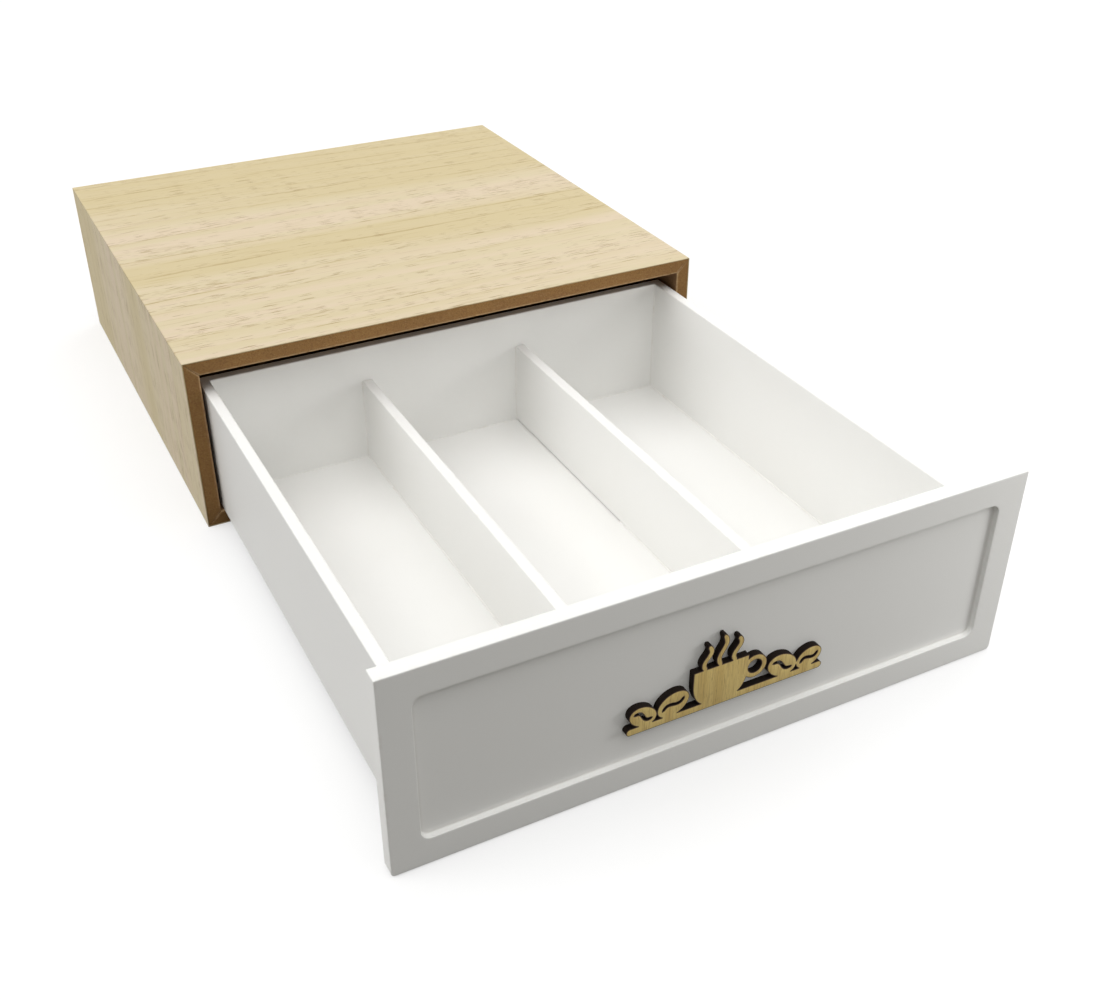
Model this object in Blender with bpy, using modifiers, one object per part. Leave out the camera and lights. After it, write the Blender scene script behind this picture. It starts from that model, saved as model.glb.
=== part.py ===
"""Coffee capsule drawer: a veneered fibreboard casing and the white drawer that slides in it.

Four mitred boards with a veneered outside make an open-fronted casing, closed behind by a
thin panel in a rebate.  The drawer is a painted box with three lengthwise compartments, an
overlay front with a routed recess, and a laser-cut plywood motif glued in the recess.
The drawer stands pulled out, with its back end still carried in the casing's mouth.

Lengths are in metres and +Z is up.  The origin is the centre of the casing's underside,
and the drawer slides out along -Y.
"""

import math

import bmesh
import bpy
from mathutils import Vector

# Casing: outside size, boards and the veneer laid over them
CASING_WIDTH = 0.300
CASING_HEIGHT = 0.098
CASING_DEPTH = 0.290
BOARD_THICKNESS = 0.0072
BOARD_EDGE_EASE = 0.00025
VENEER_THICKNESS = 0.0005
VENEER_EDGE_EASE = 0.00015

# Clearance that glued and nested faces keep to each other
FIT_GAP = 0.0003
# How far a cutter runs past the face that it opens
CUT_OVERRUN = 0.002

# Casing back panel, in a rebate of the boards
BACK_THICKNESS = 0.003
BACK_INSET = 0.001
BACK_REBATE_WIDTH = 0.0038
BACK_EDGE_EASE = 0.0003

# Back panel pins
PIN_LENGTH = 0.011
PIN_SHANK_RADIUS = 0.0006
PIN_HEAD_RADIUS = 0.0012
PIN_HEAD_THICKNESS = 0.0005
PIN_TIP_LENGTH = 0.0015
PIN_CORNER_DISTANCE = 0.045

# Drawer box in the casing
SIDE_CLEARANCE = 0.00175
RUNNING_GAP = 0.0003
TOP_CLEARANCE = 0.0102
REAR_CLEARANCE = 0.0037
CLOSED_GAP = 0.0004
REST_HOLD = 0.018

# Drawer box boards
WALL_THICKNESS = 0.0055
WALL_EDGE_EASE = 0.0007
FLOOR_THICKNESS = 0.003
FLOOR_REBATE = 0.00275
DIVIDER_THICKNESS = 0.0055
DIVIDER_DROP = 0.0202
LEFT_COMPARTMENT_WIDTH = 0.0825
MIDDLE_COMPARTMENT_WIDTH = 0.0885

# Overlay front
FRONT_THICKNESS = 0.0075
FRONT_SIDE_OVERHANG = 0.0015
FRONT_TOP_RISE = 0.0015
FRONT_GROUND_GAP = 0.0005
FRONT_EDGE_EASE = 0.0009
RECESS_MARGIN = 0.0135
RECESS_DEPTH = 0.0025
RECESS_CORNER_RADIUS = 0.0045
RECESS_COVE = 0.0018

# Screws that hold the overlay front to the box
SCREW_LENGTH = 0.0095
SCREW_SHANK_RADIUS = 0.0014
SCREW_HEAD_RADIUS = 0.0028
SCREW_HEAD_HEIGHT = 0.0016
SCREW_HEAD_LIP = 0.0003
SCREW_TIP_LENGTH = 0.0018
SCREW_HEAD_SINK = 0.0002
SCREW_WALL_DISTANCE = 0.030
SCREW_EDGE_DISTANCE = 0.017

# Brads that nail the drawer box and the dividers
BRAD_LENGTH = 0.018
BRAD_SHANK_RADIUS = 0.0006
BRAD_HEAD_RADIUS = 0.0010
BRAD_HEAD_THICKNESS = 0.0006
BRAD_TIP_LENGTH = 0.0015
BRAD_FILLER_COVER = 0.0009
BRAD_EDGE_DISTANCE = 0.018

# Plywood motif: a cup with steam between beans, on a thin base bar
MOTIF_THICKNESS = 0.003
MOTIF_WIDTH = 0.097
MOTIF_BAR_HEIGHT = 0.0036
MOTIF_CUP_WIDTH = 0.027
MOTIF_CUP_HEIGHT = 0.0185
MOTIF_CUP_FOOT_WIDTH = 0.013
MOTIF_CUP_SHIFT = 0.004
MOTIF_HANDLE_RADIUS = 0.0060
MOTIF_HANDLE_BAND = 0.0026
MOTIF_STEAM_HEIGHT = 0.0155
MOTIF_STEAM_WIDTH = 0.0025
MOTIF_STEAM_SPACING = 0.0072
MOTIF_STEAM_SWING = 0.0016
MOTIF_BEAN_LENGTH = 0.0158
MOTIF_BEAN_BREADTH = 0.0116
MOTIF_BEAN_SLOT_WIDTH = 0.0013
MOTIF_BEAN_SLOT_SWING = 0.0012
MOTIF_SINK = 0.0008
MOTIF_TRIM_STEP = 0.0002
MOTIF_CENTRE_DROP = 0.0018

# Angles and counts
BEAN_TILT = math.radians(24)
BEAN_SLOT_SHARE = 0.7
SMALL_BEAN_SHARE = 0.86
BEAN_PLACE_SHARES = (-0.421, -0.274, 0.281, 0.424)
CUP_ROUND_SHARE = 0.62
STEAM_LENGTH_SHARES = (0.78, 1.0, 0.78)
TURNED_STEPS = 12
OUTLINE_STEPS = 10
EASE_SEGMENTS = 2
COVE_SEGMENTS = 4

# Casing places
SKIN = VENEER_THICKNESS + FIT_GAP
SHELL = BOARD_THICKNESS + SKIN
CASING_FRONT_Y = -CASING_DEPTH / 2
CASING_BACK_Y = CASING_DEPTH / 2
INNER_HALF_WIDTH = CASING_WIDTH / 2 - SHELL
INNER_FLOOR_Z = SHELL
INNER_TOP_Z = CASING_HEIGHT - SHELL
BACK_REAR_Y = CASING_BACK_Y - BACK_INSET
BACK_FRONT_Y = BACK_REAR_Y - BACK_THICKNESS
REBATE_FRONT_Y = BACK_FRONT_Y - FIT_GAP

# Drawer places, closed, and how far it stands open
BOX_WIDTH = 2 * (INNER_HALF_WIDTH - SIDE_CLEARANCE)
BOX_DEPTH = REBATE_FRONT_Y - REAR_CLEARANCE - (CASING_FRONT_Y - CLOSED_GAP)
BOX_BOTTOM_Z = INNER_FLOOR_Z + RUNNING_GAP
BOX_TOP_Z = INNER_TOP_Z - TOP_CLEARANCE
FLOOR_TOP_Z = BOX_BOTTOM_Z + FLOOR_THICKNESS
DIVIDER_TOP_Z = BOX_TOP_Z - DIVIDER_DROP
FRONT_WIDTH = CASING_WIDTH + 2 * FRONT_SIDE_OVERHANG
FRONT_TOP_Z = CASING_HEIGHT + FRONT_TOP_RISE
FRONT_HEIGHT = FRONT_TOP_Z - FRONT_GROUND_GAP
FRONT_CENTRE_Z = (FRONT_TOP_Z + FRONT_GROUND_GAP) / 2
REST_OPENING = BOX_DEPTH - REST_HOLD - CLOSED_GAP

# Drawer places measured from the back face of the overlay front
INNER_FRONT_Y = FIT_GAP
INNER_FRONT_REAR_Y = INNER_FRONT_Y + WALL_THICKNESS
BOX_REAR_Y = BOX_DEPTH
REAR_WALL_Y = BOX_REAR_Y - WALL_THICKNESS
BOX_HALF_WIDTH = BOX_WIDTH / 2
WALL_INNER_X = BOX_HALF_WIDTH - WALL_THICKNESS
LEFT_DIVIDER_X = -WALL_INNER_X + LEFT_COMPARTMENT_WIDTH + DIVIDER_THICKNESS / 2
RIGHT_DIVIDER_X = LEFT_DIVIDER_X + MIDDLE_COMPARTMENT_WIDTH + DIVIDER_THICKNESS


def clear_scene():
    """Empty the file of whatever objects it starts with."""
    for old in list(bpy.data.objects):
        bpy.data.objects.remove(old, do_unlink=True)


def make_collection(name):
    """Return a new collection linked to the scene."""
    collection = bpy.data.collections.new(name)
    bpy.context.scene.collection.children.link(collection)
    return collection


def make_material(name, colour, roughness, metallic=0.0):
    """Return a Principled material of one colour."""
    material = bpy.data.materials.new(name)
    material.use_nodes = True
    shader = material.node_tree.nodes["Principled BSDF"]
    shader.inputs["Base Color"].default_value = (*colour, 1.0)
    shader.inputs["Roughness"].default_value = roughness
    shader.inputs["Metallic"].default_value = metallic
    return material


clear_scene()
parts = make_collection("coffee_capsule_drawer")
cutters = make_collection("cutters")

VENEER = make_material("pale wood veneer", (0.72, 0.58, 0.36), 0.5)
BOARD = make_material("brown fibreboard", (0.20, 0.10, 0.05), 0.8)
BACK_BOARD = make_material("thin brown hardboard", (0.13, 0.07, 0.04), 0.75)
PAINT = make_material("white satin paint", (0.86, 0.86, 0.84), 0.45)
PLYWOOD = make_material("laser-cut plywood", (0.48, 0.34, 0.15), 0.6)
ZINC = make_material("zinc-plated steel", (0.62, 0.62, 0.60), 0.35, 1.0)
BRIGHT_STEEL = make_material("bright steel wire", (0.55, 0.55, 0.56), 0.4, 1.0)


def make_empty(name, place):
    """Return an empty that carries the pieces of one body."""
    empty = bpy.data.objects.new(name, None)
    empty.location = place
    parts.objects.link(empty)
    return empty


casing_carrier = make_empty("casing_carrier", Vector((0, 0, 0)))
# On the slide's line, at the foot of the overlay front's back face
slide_carrier = make_empty(
    "drawer_slide_carrier",
    Vector((0, CASING_FRONT_Y - CLOSED_GAP - REST_OPENING, 0)),
)


def add_object(name, mesh, place, material, carrier):
    """Add a visible piece with its own material, carried by a body's empty."""
    piece = bpy.data.objects.new(name, mesh)
    if not mesh.materials:
        mesh.materials.append(material)
    piece.location = place
    piece.parent = carrier
    parts.objects.link(piece)
    return piece


def add_cutter(name, mesh, place, carrier):
    """Add a cutter, drawn as wire and left out of renders."""
    cutter = bpy.data.objects.new(name, mesh)
    cutter.location = place
    cutter.parent = carrier
    cutter.display_type = "WIRE"
    cutter.hide_render = True
    cutters.objects.link(cutter)
    return cutter


def block_mesh(name, size):
    """Return the mesh of a rectangular block about its own centre."""
    shape = bmesh.new()
    bmesh.ops.create_cube(shape, size=1.0)
    bmesh.ops.scale(shape, vec=size, verts=shape.verts)
    mesh = bpy.data.meshes.new(name)
    shape.to_mesh(mesh)
    shape.free()
    return mesh


def add_block(name, low, high, material, carrier):
    """Add a block between two opposite corners."""
    low, high = Vector(low), Vector(high)
    return add_object(name, block_mesh(name, high - low), (low + high) / 2, material, carrier)


def add_block_cutter(name, low, high, carrier):
    """Add a rectangular cutter between two opposite corners."""
    low, high = Vector(low), Vector(high)
    return add_cutter(name, block_mesh(name, high - low), (low + high) / 2, carrier)


def ease_edges(piece, width, segments=EASE_SEGMENTS):
    """Round a piece's sharp edges by a Bevel modifier."""
    bevel = piece.modifiers.new("eased edges", "BEVEL")
    bevel.width = width
    bevel.segments = segments
    bevel.limit_method = "ANGLE"
    bevel.angle_limit = math.radians(40)
    return bevel


def combine(piece, tool, operation):
    """Join, trim or cut a piece by a tool with a Boolean modifier."""
    boolean = piece.modifiers.new(f"{operation.lower()} {tool.name}", "BOOLEAN")
    boolean.operation = operation
    boolean.solver = "EXACT"
    boolean.object = tool


def cut(piece, tool):
    """Cut a piece by a tool."""
    combine(piece, tool, "DIFFERENCE")


def outline_mesh(name, outlines, thickness):
    """Return a plate from closed flat outlines, lying in XZ and centred on y = 0.

    The first outline is the outer one, and the others are holes in it.
    """
    curve = bpy.data.curves.new(name, "CURVE")
    curve.dimensions = "2D"
    curve.fill_mode = "BOTH"
    curve.extrude = thickness / 2
    for points in outlines:
        spline = curve.splines.new("POLY")
        spline.points.add(len(points) - 1)
        for control, (across, up) in zip(spline.points, points):
            control.co = (across, up, 0, 1)
        spline.use_cyclic_u = True
    drawn = bpy.data.objects.new(name + " outline", curve)
    drawn.rotation_euler.x = math.radians(90)
    bpy.context.scene.collection.objects.link(drawn)
    bpy.context.view_layer.update()
    graph = bpy.context.evaluated_depsgraph_get()
    mesh = bpy.data.meshes.new_from_object(drawn.evaluated_get(graph))
    mesh.transform(drawn.matrix_world)
    bpy.data.objects.remove(drawn, do_unlink=True)
    bpy.data.curves.remove(curve)
    shape = bmesh.new()
    shape.from_mesh(mesh)
    bmesh.ops.remove_doubles(shape, verts=shape.verts, dist=FIT_GAP / 100)
    bmesh.ops.recalc_face_normals(shape, faces=shape.faces)
    shape.to_mesh(mesh)
    shape.free()
    mesh.name = name
    return mesh


def rounded_rectangle(width, height, radius):
    """Return the outline of a rectangle about zero with round corners."""
    points = []
    for corner, (side, level) in enumerate(((1, 1), (-1, 1), (-1, -1), (1, -1))):
        middle_x = side * (width / 2 - radius)
        middle_z = level * (height / 2 - radius)
        for step in range(OUTLINE_STEPS + 1):
            angle = math.radians(90) * (corner + step / OUTLINE_STEPS)
            points.append((middle_x + radius * math.cos(angle), middle_z + radius * math.sin(angle)))
    return points


def add_turned(name, profile, place, turn, material, carrier, cutter=False):
    """Add a piece, or a cutter, turned about its own Z from a half profile."""
    shape = bmesh.new()
    corners = [shape.verts.new((radius, 0, level)) for radius, level in profile]
    for upper, lower in zip(corners, corners[1:]):
        shape.edges.new((upper, lower))
    mesh = bpy.data.meshes.new(name)
    shape.to_mesh(mesh)
    shape.free()
    if cutter:
        piece = add_cutter(name, mesh, place, carrier)
    else:
        piece = add_object(name, mesh, place, material, carrier)
    piece.rotation_euler = turn
    screw = piece.modifiers.new("turned", "SCREW")
    screw.axis = "Z"
    screw.steps = TURNED_STEPS
    screw.render_steps = TURNED_STEPS
    screw.use_merge_vertices = True
    screw.merge_threshold = FIT_GAP / 100
    screw.use_normal_calculate = False
    return piece


def nail_profile(head_radius, head_thickness, shank_radius, length, tip_length):
    """Return a nail's half profile, its head's top at zero and its point below."""
    return (
        (0, 0),
        (head_radius, 0),
        (head_radius, -head_thickness),
        (shank_radius, -head_thickness),
        (shank_radius, -length + tip_length),
        (0, -length),
    )


def screw_profile(gap):
    """Return the half profile of a countersunk screw, grown by a gap all round."""
    cone_end = SCREW_HEAD_LIP + SCREW_HEAD_HEIGHT
    return (
        (0, gap),
        (SCREW_HEAD_RADIUS + gap, gap),
        (SCREW_HEAD_RADIUS + gap, -SCREW_HEAD_LIP),
        (SCREW_SHANK_RADIUS + gap, -cone_end),
        (SCREW_SHANK_RADIUS + gap, -SCREW_LENGTH + SCREW_TIP_LENGTH - gap),
        (0, -SCREW_LENGTH - gap),
    )


def grown_nail_profile(head_radius, head_thickness, shank_radius, length):
    """Return the half profile of a nail's hole, which clears the nail by the fit gap."""
    return (
        (0, FIT_GAP),
        (head_radius + FIT_GAP, FIT_GAP),
        (head_radius + FIT_GAP, -head_thickness - FIT_GAP),
        (shank_radius + FIT_GAP, -head_thickness - FIT_GAP),
        (shank_radius + FIT_GAP, -length - FIT_GAP),
        (0, -length - FIT_GAP),
    )


def mitred_outline(half_width, thickness):
    """Return a board's end-on outline, long on its outer side, with a mitre at each end."""
    relief = FIT_GAP / 2 * math.sqrt(2)
    return (
        (half_width - relief, 0),
        (half_width - thickness - relief, -thickness),
        (-half_width + thickness + relief, -thickness),
        (-half_width + relief, 0),
    )


def add_casing_board(name, across, turn, place, rebate):
    """Add one mitred casing board, its outer face turned outwards, and its veneer.

    across is the casing's outside size along the board, and place is the middle of the
    board's outer face.
    """
    half = across / 2 - SKIN
    board_mesh = outline_mesh(name, [mitred_outline(half, BOARD_THICKNESS)], CASING_DEPTH)
    board = add_object(name, board_mesh, place, BOARD, casing_carrier)
    board.rotation_euler.y = turn
    ease_edges(board, BOARD_EDGE_EASE)
    cut(board, rebate)
    sheet_mesh = outline_mesh(
        name.replace("casing", "veneer"),
        [mitred_outline(across / 2, VENEER_THICKNESS)],
        CASING_DEPTH,
    )
    outwards = Vector((math.sin(turn), 0, math.cos(turn)))
    sheet = add_object(
        sheet_mesh.name, sheet_mesh, Vector(place) + outwards * SKIN, VENEER, casing_carrier
    )
    sheet.rotation_euler.y = turn
    ease_edges(sheet, VENEER_EDGE_EASE, 1)
    return board


def build_casing():
    """Build the four boards, their veneer and the back panel with its pins."""
    rebate = add_block_cutter(
        "back rebate cutter",
        (
            -INNER_HALF_WIDTH - BACK_REBATE_WIDTH,
            REBATE_FRONT_Y,
            INNER_FLOOR_Z - BACK_REBATE_WIDTH,
        ),
        (
            INNER_HALF_WIDTH + BACK_REBATE_WIDTH,
            CASING_BACK_Y + CUT_OVERRUN,
            INNER_TOP_Z + BACK_REBATE_WIDTH,
        ),
        casing_carrier,
    )
    middle_z = CASING_HEIGHT / 2
    side_x = CASING_WIDTH / 2 - SKIN
    quarter = math.radians(90)
    top_place = (0, 0, CASING_HEIGHT - SKIN)
    boards = {
        "top": add_casing_board("casing_top", CASING_WIDTH, 0, top_place, rebate),
        "bottom": add_casing_board(
            "casing_bottom", CASING_WIDTH, 2 * quarter, (0, 0, SKIN), rebate
        ),
        "right": add_casing_board(
            "casing_right", CASING_HEIGHT, quarter, (side_x, 0, middle_z), rebate
        ),
        "left": add_casing_board(
            "casing_left", CASING_HEIGHT, -quarter, (-side_x, 0, middle_z), rebate
        ),
    }
    reach = BACK_REBATE_WIDTH - FIT_GAP
    back = add_block(
        "casing_back",
        (-INNER_HALF_WIDTH - reach, BACK_FRONT_Y, INNER_FLOOR_Z - reach),
        (INNER_HALF_WIDTH + reach, BACK_REAR_Y, INNER_TOP_Z + reach),
        BACK_BOARD,
        casing_carrier,
    )
    ease_edges(back, BACK_EDGE_EASE)
    add_back_pins(back, boards)


def add_back_pins(back, boards):
    """Pin the back panel to the rebate's shoulders, head outwards."""
    shoulder = BACK_REBATE_WIDTH / 2
    low_z = INNER_FLOOR_Z - shoulder
    high_z = INNER_TOP_Z + shoulder
    pin_x = CASING_WIDTH / 2 - PIN_CORNER_DISTANCE
    places = (
        (-pin_x, high_z, "top"),
        (pin_x, high_z, "top"),
        (-pin_x, low_z, "bottom"),
        (pin_x, low_z, "bottom"),
        (-INNER_HALF_WIDTH - shoulder, CASING_HEIGHT / 2, "left"),
        (INNER_HALF_WIDTH + shoulder, CASING_HEIGHT / 2, "right"),
    )
    head_y = BACK_REAR_Y + FIT_GAP + PIN_HEAD_THICKNESS
    turn = (math.radians(-90), 0, 0)
    profile = nail_profile(
        PIN_HEAD_RADIUS, PIN_HEAD_THICKNESS, PIN_SHANK_RADIUS, PIN_LENGTH, PIN_TIP_LENGTH
    )
    hole = (
        (0, FIT_GAP),
        (PIN_SHANK_RADIUS + FIT_GAP, FIT_GAP),
        (PIN_SHANK_RADIUS + FIT_GAP, -PIN_LENGTH - FIT_GAP),
        (0, -PIN_LENGTH - FIT_GAP),
    )
    for number, (x, z, board) in enumerate(places, 1):
        place = (x, head_y, z)
        name = f"back_pin_{number}"
        add_turned(name, profile, place, turn, BRIGHT_STEEL, casing_carrier)
        tool = add_turned(name + " hole", hole, place, turn, None, casing_carrier, cutter=True)
        cut(back, tool)
        cut(boards[board], tool)


def build_drawer_box():
    """Build the walls, the floor and the dividers of the drawer box."""
    walls = {
        "left": add_block(
            "drawer_left_wall",
            (-BOX_HALF_WIDTH, INNER_FRONT_Y, BOX_BOTTOM_Z),
            (-WALL_INNER_X, BOX_REAR_Y, BOX_TOP_Z),
            PAINT,
            slide_carrier,
        ),
        "right": add_block(
            "drawer_right_wall",
            (WALL_INNER_X, INNER_FRONT_Y, BOX_BOTTOM_Z),
            (BOX_HALF_WIDTH, BOX_REAR_Y, BOX_TOP_Z),
            PAINT,
            slide_carrier,
        ),
        "back": add_block(
            "drawer_back_wall",
            (-WALL_INNER_X + FIT_GAP, REAR_WALL_Y, BOX_BOTTOM_Z),
            (WALL_INNER_X - FIT_GAP, BOX_REAR_Y, BOX_TOP_Z),
            PAINT,
            slide_carrier,
        ),
        "inner_front": add_block(
            "drawer_inner_front",
            (-WALL_INNER_X + FIT_GAP, INNER_FRONT_Y, BOX_BOTTOM_Z),
            (WALL_INNER_X - FIT_GAP, INNER_FRONT_REAR_Y, BOX_TOP_Z),
            PAINT,
            slide_carrier,
        ),
    }
    floor_half = WALL_INNER_X + FLOOR_REBATE
    rebate = add_block_cutter(
        "floor rebate cutter",
        (-floor_half, INNER_FRONT_REAR_Y - FLOOR_REBATE, BOX_BOTTOM_Z - CUT_OVERRUN),
        (floor_half, REAR_WALL_Y + FLOOR_REBATE, FLOOR_TOP_Z + FIT_GAP),
        slide_carrier,
    )
    for wall in walls.values():
        ease_edges(wall, WALL_EDGE_EASE)
        cut(wall, rebate)
    add_block(
        "drawer_floor",
        (
            -floor_half + FIT_GAP,
            INNER_FRONT_REAR_Y - FLOOR_REBATE + FIT_GAP,
            BOX_BOTTOM_Z,
        ),
        (floor_half - FIT_GAP, REAR_WALL_Y + FLOOR_REBATE - FIT_GAP, FLOOR_TOP_Z),
        PAINT,
        slide_carrier,
    )
    dividers = {}
    for side, middle in (("left", LEFT_DIVIDER_X), ("right", RIGHT_DIVIDER_X)):
        divider = add_block(
            f"drawer_{side}_divider",
            (
                middle - DIVIDER_THICKNESS / 2,
                INNER_FRONT_REAR_Y + FIT_GAP,
                FLOOR_TOP_Z + FIT_GAP,
            ),
            (
                middle + DIVIDER_THICKNESS / 2,
                REAR_WALL_Y - FIT_GAP,
                DIVIDER_TOP_Z,
            ),
            PAINT,
            slide_carrier,
        )
        ease_edges(divider, WALL_EDGE_EASE)
        dividers[side] = (divider, middle)
    nail_box(walls, dividers)
    return walls


def add_brad(name, place, turn, boards):
    """Drive one brad through two boards, its head sunk under filler."""
    profile = nail_profile(
        BRAD_HEAD_RADIUS, BRAD_HEAD_THICKNESS, BRAD_SHANK_RADIUS, BRAD_LENGTH, BRAD_TIP_LENGTH
    )
    hole = grown_nail_profile(
        BRAD_HEAD_RADIUS, BRAD_HEAD_THICKNESS, BRAD_SHANK_RADIUS, BRAD_LENGTH
    )
    add_turned(name, profile, place, turn, BRIGHT_STEEL, slide_carrier)
    tool = add_turned(name + " hole", hole, place, turn, None, slide_carrier, cutter=True)
    for board in boards:
        cut(board, tool)


def nail_box(walls, dividers):
    """Nail the corners through the side walls, and the dividers through their end walls."""
    heights = (BOX_BOTTOM_Z + BRAD_EDGE_DISTANCE, BOX_TOP_Z - BRAD_EDGE_DISTANCE)
    head_x = BOX_HALF_WIDTH - BRAD_FILLER_COVER
    ends = (
        ("inner_front", INNER_FRONT_Y + WALL_THICKNESS / 2),
        ("back", BOX_REAR_Y - WALL_THICKNESS / 2),
    )
    number = 0
    for side, direction in (("left", -1), ("right", 1)):
        turn = (0, direction * math.radians(90), 0)
        for end, y in ends:
            for z in heights:
                number += 1
                place = (direction * head_x, y, z)
                add_brad(f"wall_brad_{number}", place, turn, (walls[side], walls[end]))
    middle_z = (FLOOR_TOP_Z + DIVIDER_TOP_Z) / 2
    number = 0
    for divider, x in dividers.values():
        for end, y, direction in (
            ("inner_front", INNER_FRONT_Y + BRAD_FILLER_COVER, 1),
            ("back", BOX_REAR_Y - BRAD_FILLER_COVER, -1),
        ):
            number += 1
            turn = (direction * math.radians(90), 0, 0)
            add_brad(f"divider_brad_{number}", (x, y, middle_z), turn, (walls[end], divider))


def build_front(inner_front):
    """Build the overlay front with its routed recess, and screw it to the box."""
    front = add_block(
        "drawer_front_panel",
        (-FRONT_WIDTH / 2, -FRONT_THICKNESS, FRONT_GROUND_GAP),
        (FRONT_WIDTH / 2, 0, FRONT_TOP_Z),
        PAINT,
        slide_carrier,
    )
    ease_edges(front, FRONT_EDGE_EASE)
    recess_outline = rounded_rectangle(
        FRONT_WIDTH - 2 * RECESS_MARGIN,
        FRONT_HEIGHT - 2 * RECESS_MARGIN,
        RECESS_CORNER_RADIUS,
    )
    overrun = RECESS_COVE + CUT_OVERRUN
    recess = add_cutter(
        "recess cutter",
        outline_mesh("recess cutter", [recess_outline], RECESS_DEPTH + overrun),
        (0, -FRONT_THICKNESS + (RECESS_DEPTH - overrun) / 2, FRONT_CENTRE_Z),
        slide_carrier,
    )
    ease_edges(recess, RECESS_COVE, COVE_SEGMENTS)
    cut(front, recess)
    screw_x = WALL_INNER_X - SCREW_WALL_DISTANCE
    heights = (FLOOR_TOP_Z + SCREW_EDGE_DISTANCE, BOX_TOP_Z - SCREW_EDGE_DISTANCE)
    turn = (math.radians(-90), 0, 0)
    number = 0
    for x in (-screw_x, screw_x):
        for z in heights:
            number += 1
            place = (x, INNER_FRONT_REAR_Y - SCREW_HEAD_SINK, z)
            name = f"front_screw_{number}"
            add_turned(name, screw_profile(0), place, turn, ZINC, slide_carrier)
            tool = add_turned(
                name + " hole", screw_profile(FIT_GAP), place, turn, None, slide_carrier, cutter=True
            )
            cut(inner_front, tool)
            cut(front, tool)


def cup_outline():
    """Return the outline of a cup seen from the side, its foot on zero."""
    rim_z = MOTIF_CUP_HEIGHT
    round_z = rim_z * CUP_ROUND_SHARE
    half_rim = MOTIF_CUP_WIDTH / 2
    half_foot = MOTIF_CUP_FOOT_WIDTH / 2
    right_side = [(half_rim, rim_z)]
    for step in range(OUTLINE_STEPS + 1):
        angle = math.radians(90) * step / OUTLINE_STEPS
        across = half_foot + (half_rim - half_foot) * math.cos(angle)
        right_side.append((across, round_z * (1 - math.sin(angle))))
    left_side = [(-x, z) for x, z in reversed(right_side)]
    return right_side + left_side


def ellipse_outline(length, breadth, tilt, centre=(0, 0)):
    """Return a tilted ellipse."""
    count = 4 * OUTLINE_STEPS
    points = []
    for step in range(count):
        angle = 2 * math.pi * step / count
        along = length / 2 * math.cos(angle)
        beside = breadth / 2 * math.sin(angle)
        points.append(turned_point(along, beside, tilt, centre))
    return points


def turned_point(along, beside, tilt, centre):
    """Return a point given along and beside a tilted line through a centre."""
    across = centre[0] + along * math.cos(tilt) - beside * math.sin(tilt)
    up = centre[1] + along * math.sin(tilt) + beside * math.cos(tilt)
    return (across, up)


def wave_outline(length, width, swing, tilt, start):
    """Return a round-ended band that swings once to each side along its length."""
    count = 2 * OUTLINE_STEPS
    one_side, other_side = [], []
    for step in range(count + 1):
        share = step / count
        middle = swing * math.sin(2 * math.pi * share)
        slope = swing / length * 2 * math.pi * math.cos(2 * math.pi * share)
        half = width / 2 * math.sqrt(1 - (2 * share - 1) ** 8)
        along_step = half * slope / math.hypot(1, slope)
        beside_step = half / math.hypot(1, slope)
        along = length * share
        one_side.append(turned_point(along + along_step, middle - beside_step, tilt, start))
        if 0 < step < count:
            other_side.append(turned_point(along - along_step, middle + beside_step, tilt, start))
    return one_side + other_side[::-1]


def ring_outlines(radius, band, centre):
    """Return the outer and inner circles of a flat ring."""
    outer = ellipse_outline(2 * radius, 2 * radius, 0, centre)
    inner = ellipse_outline(2 * (radius - band), 2 * (radius - band), 0, centre)
    return [outer, inner]


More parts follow.
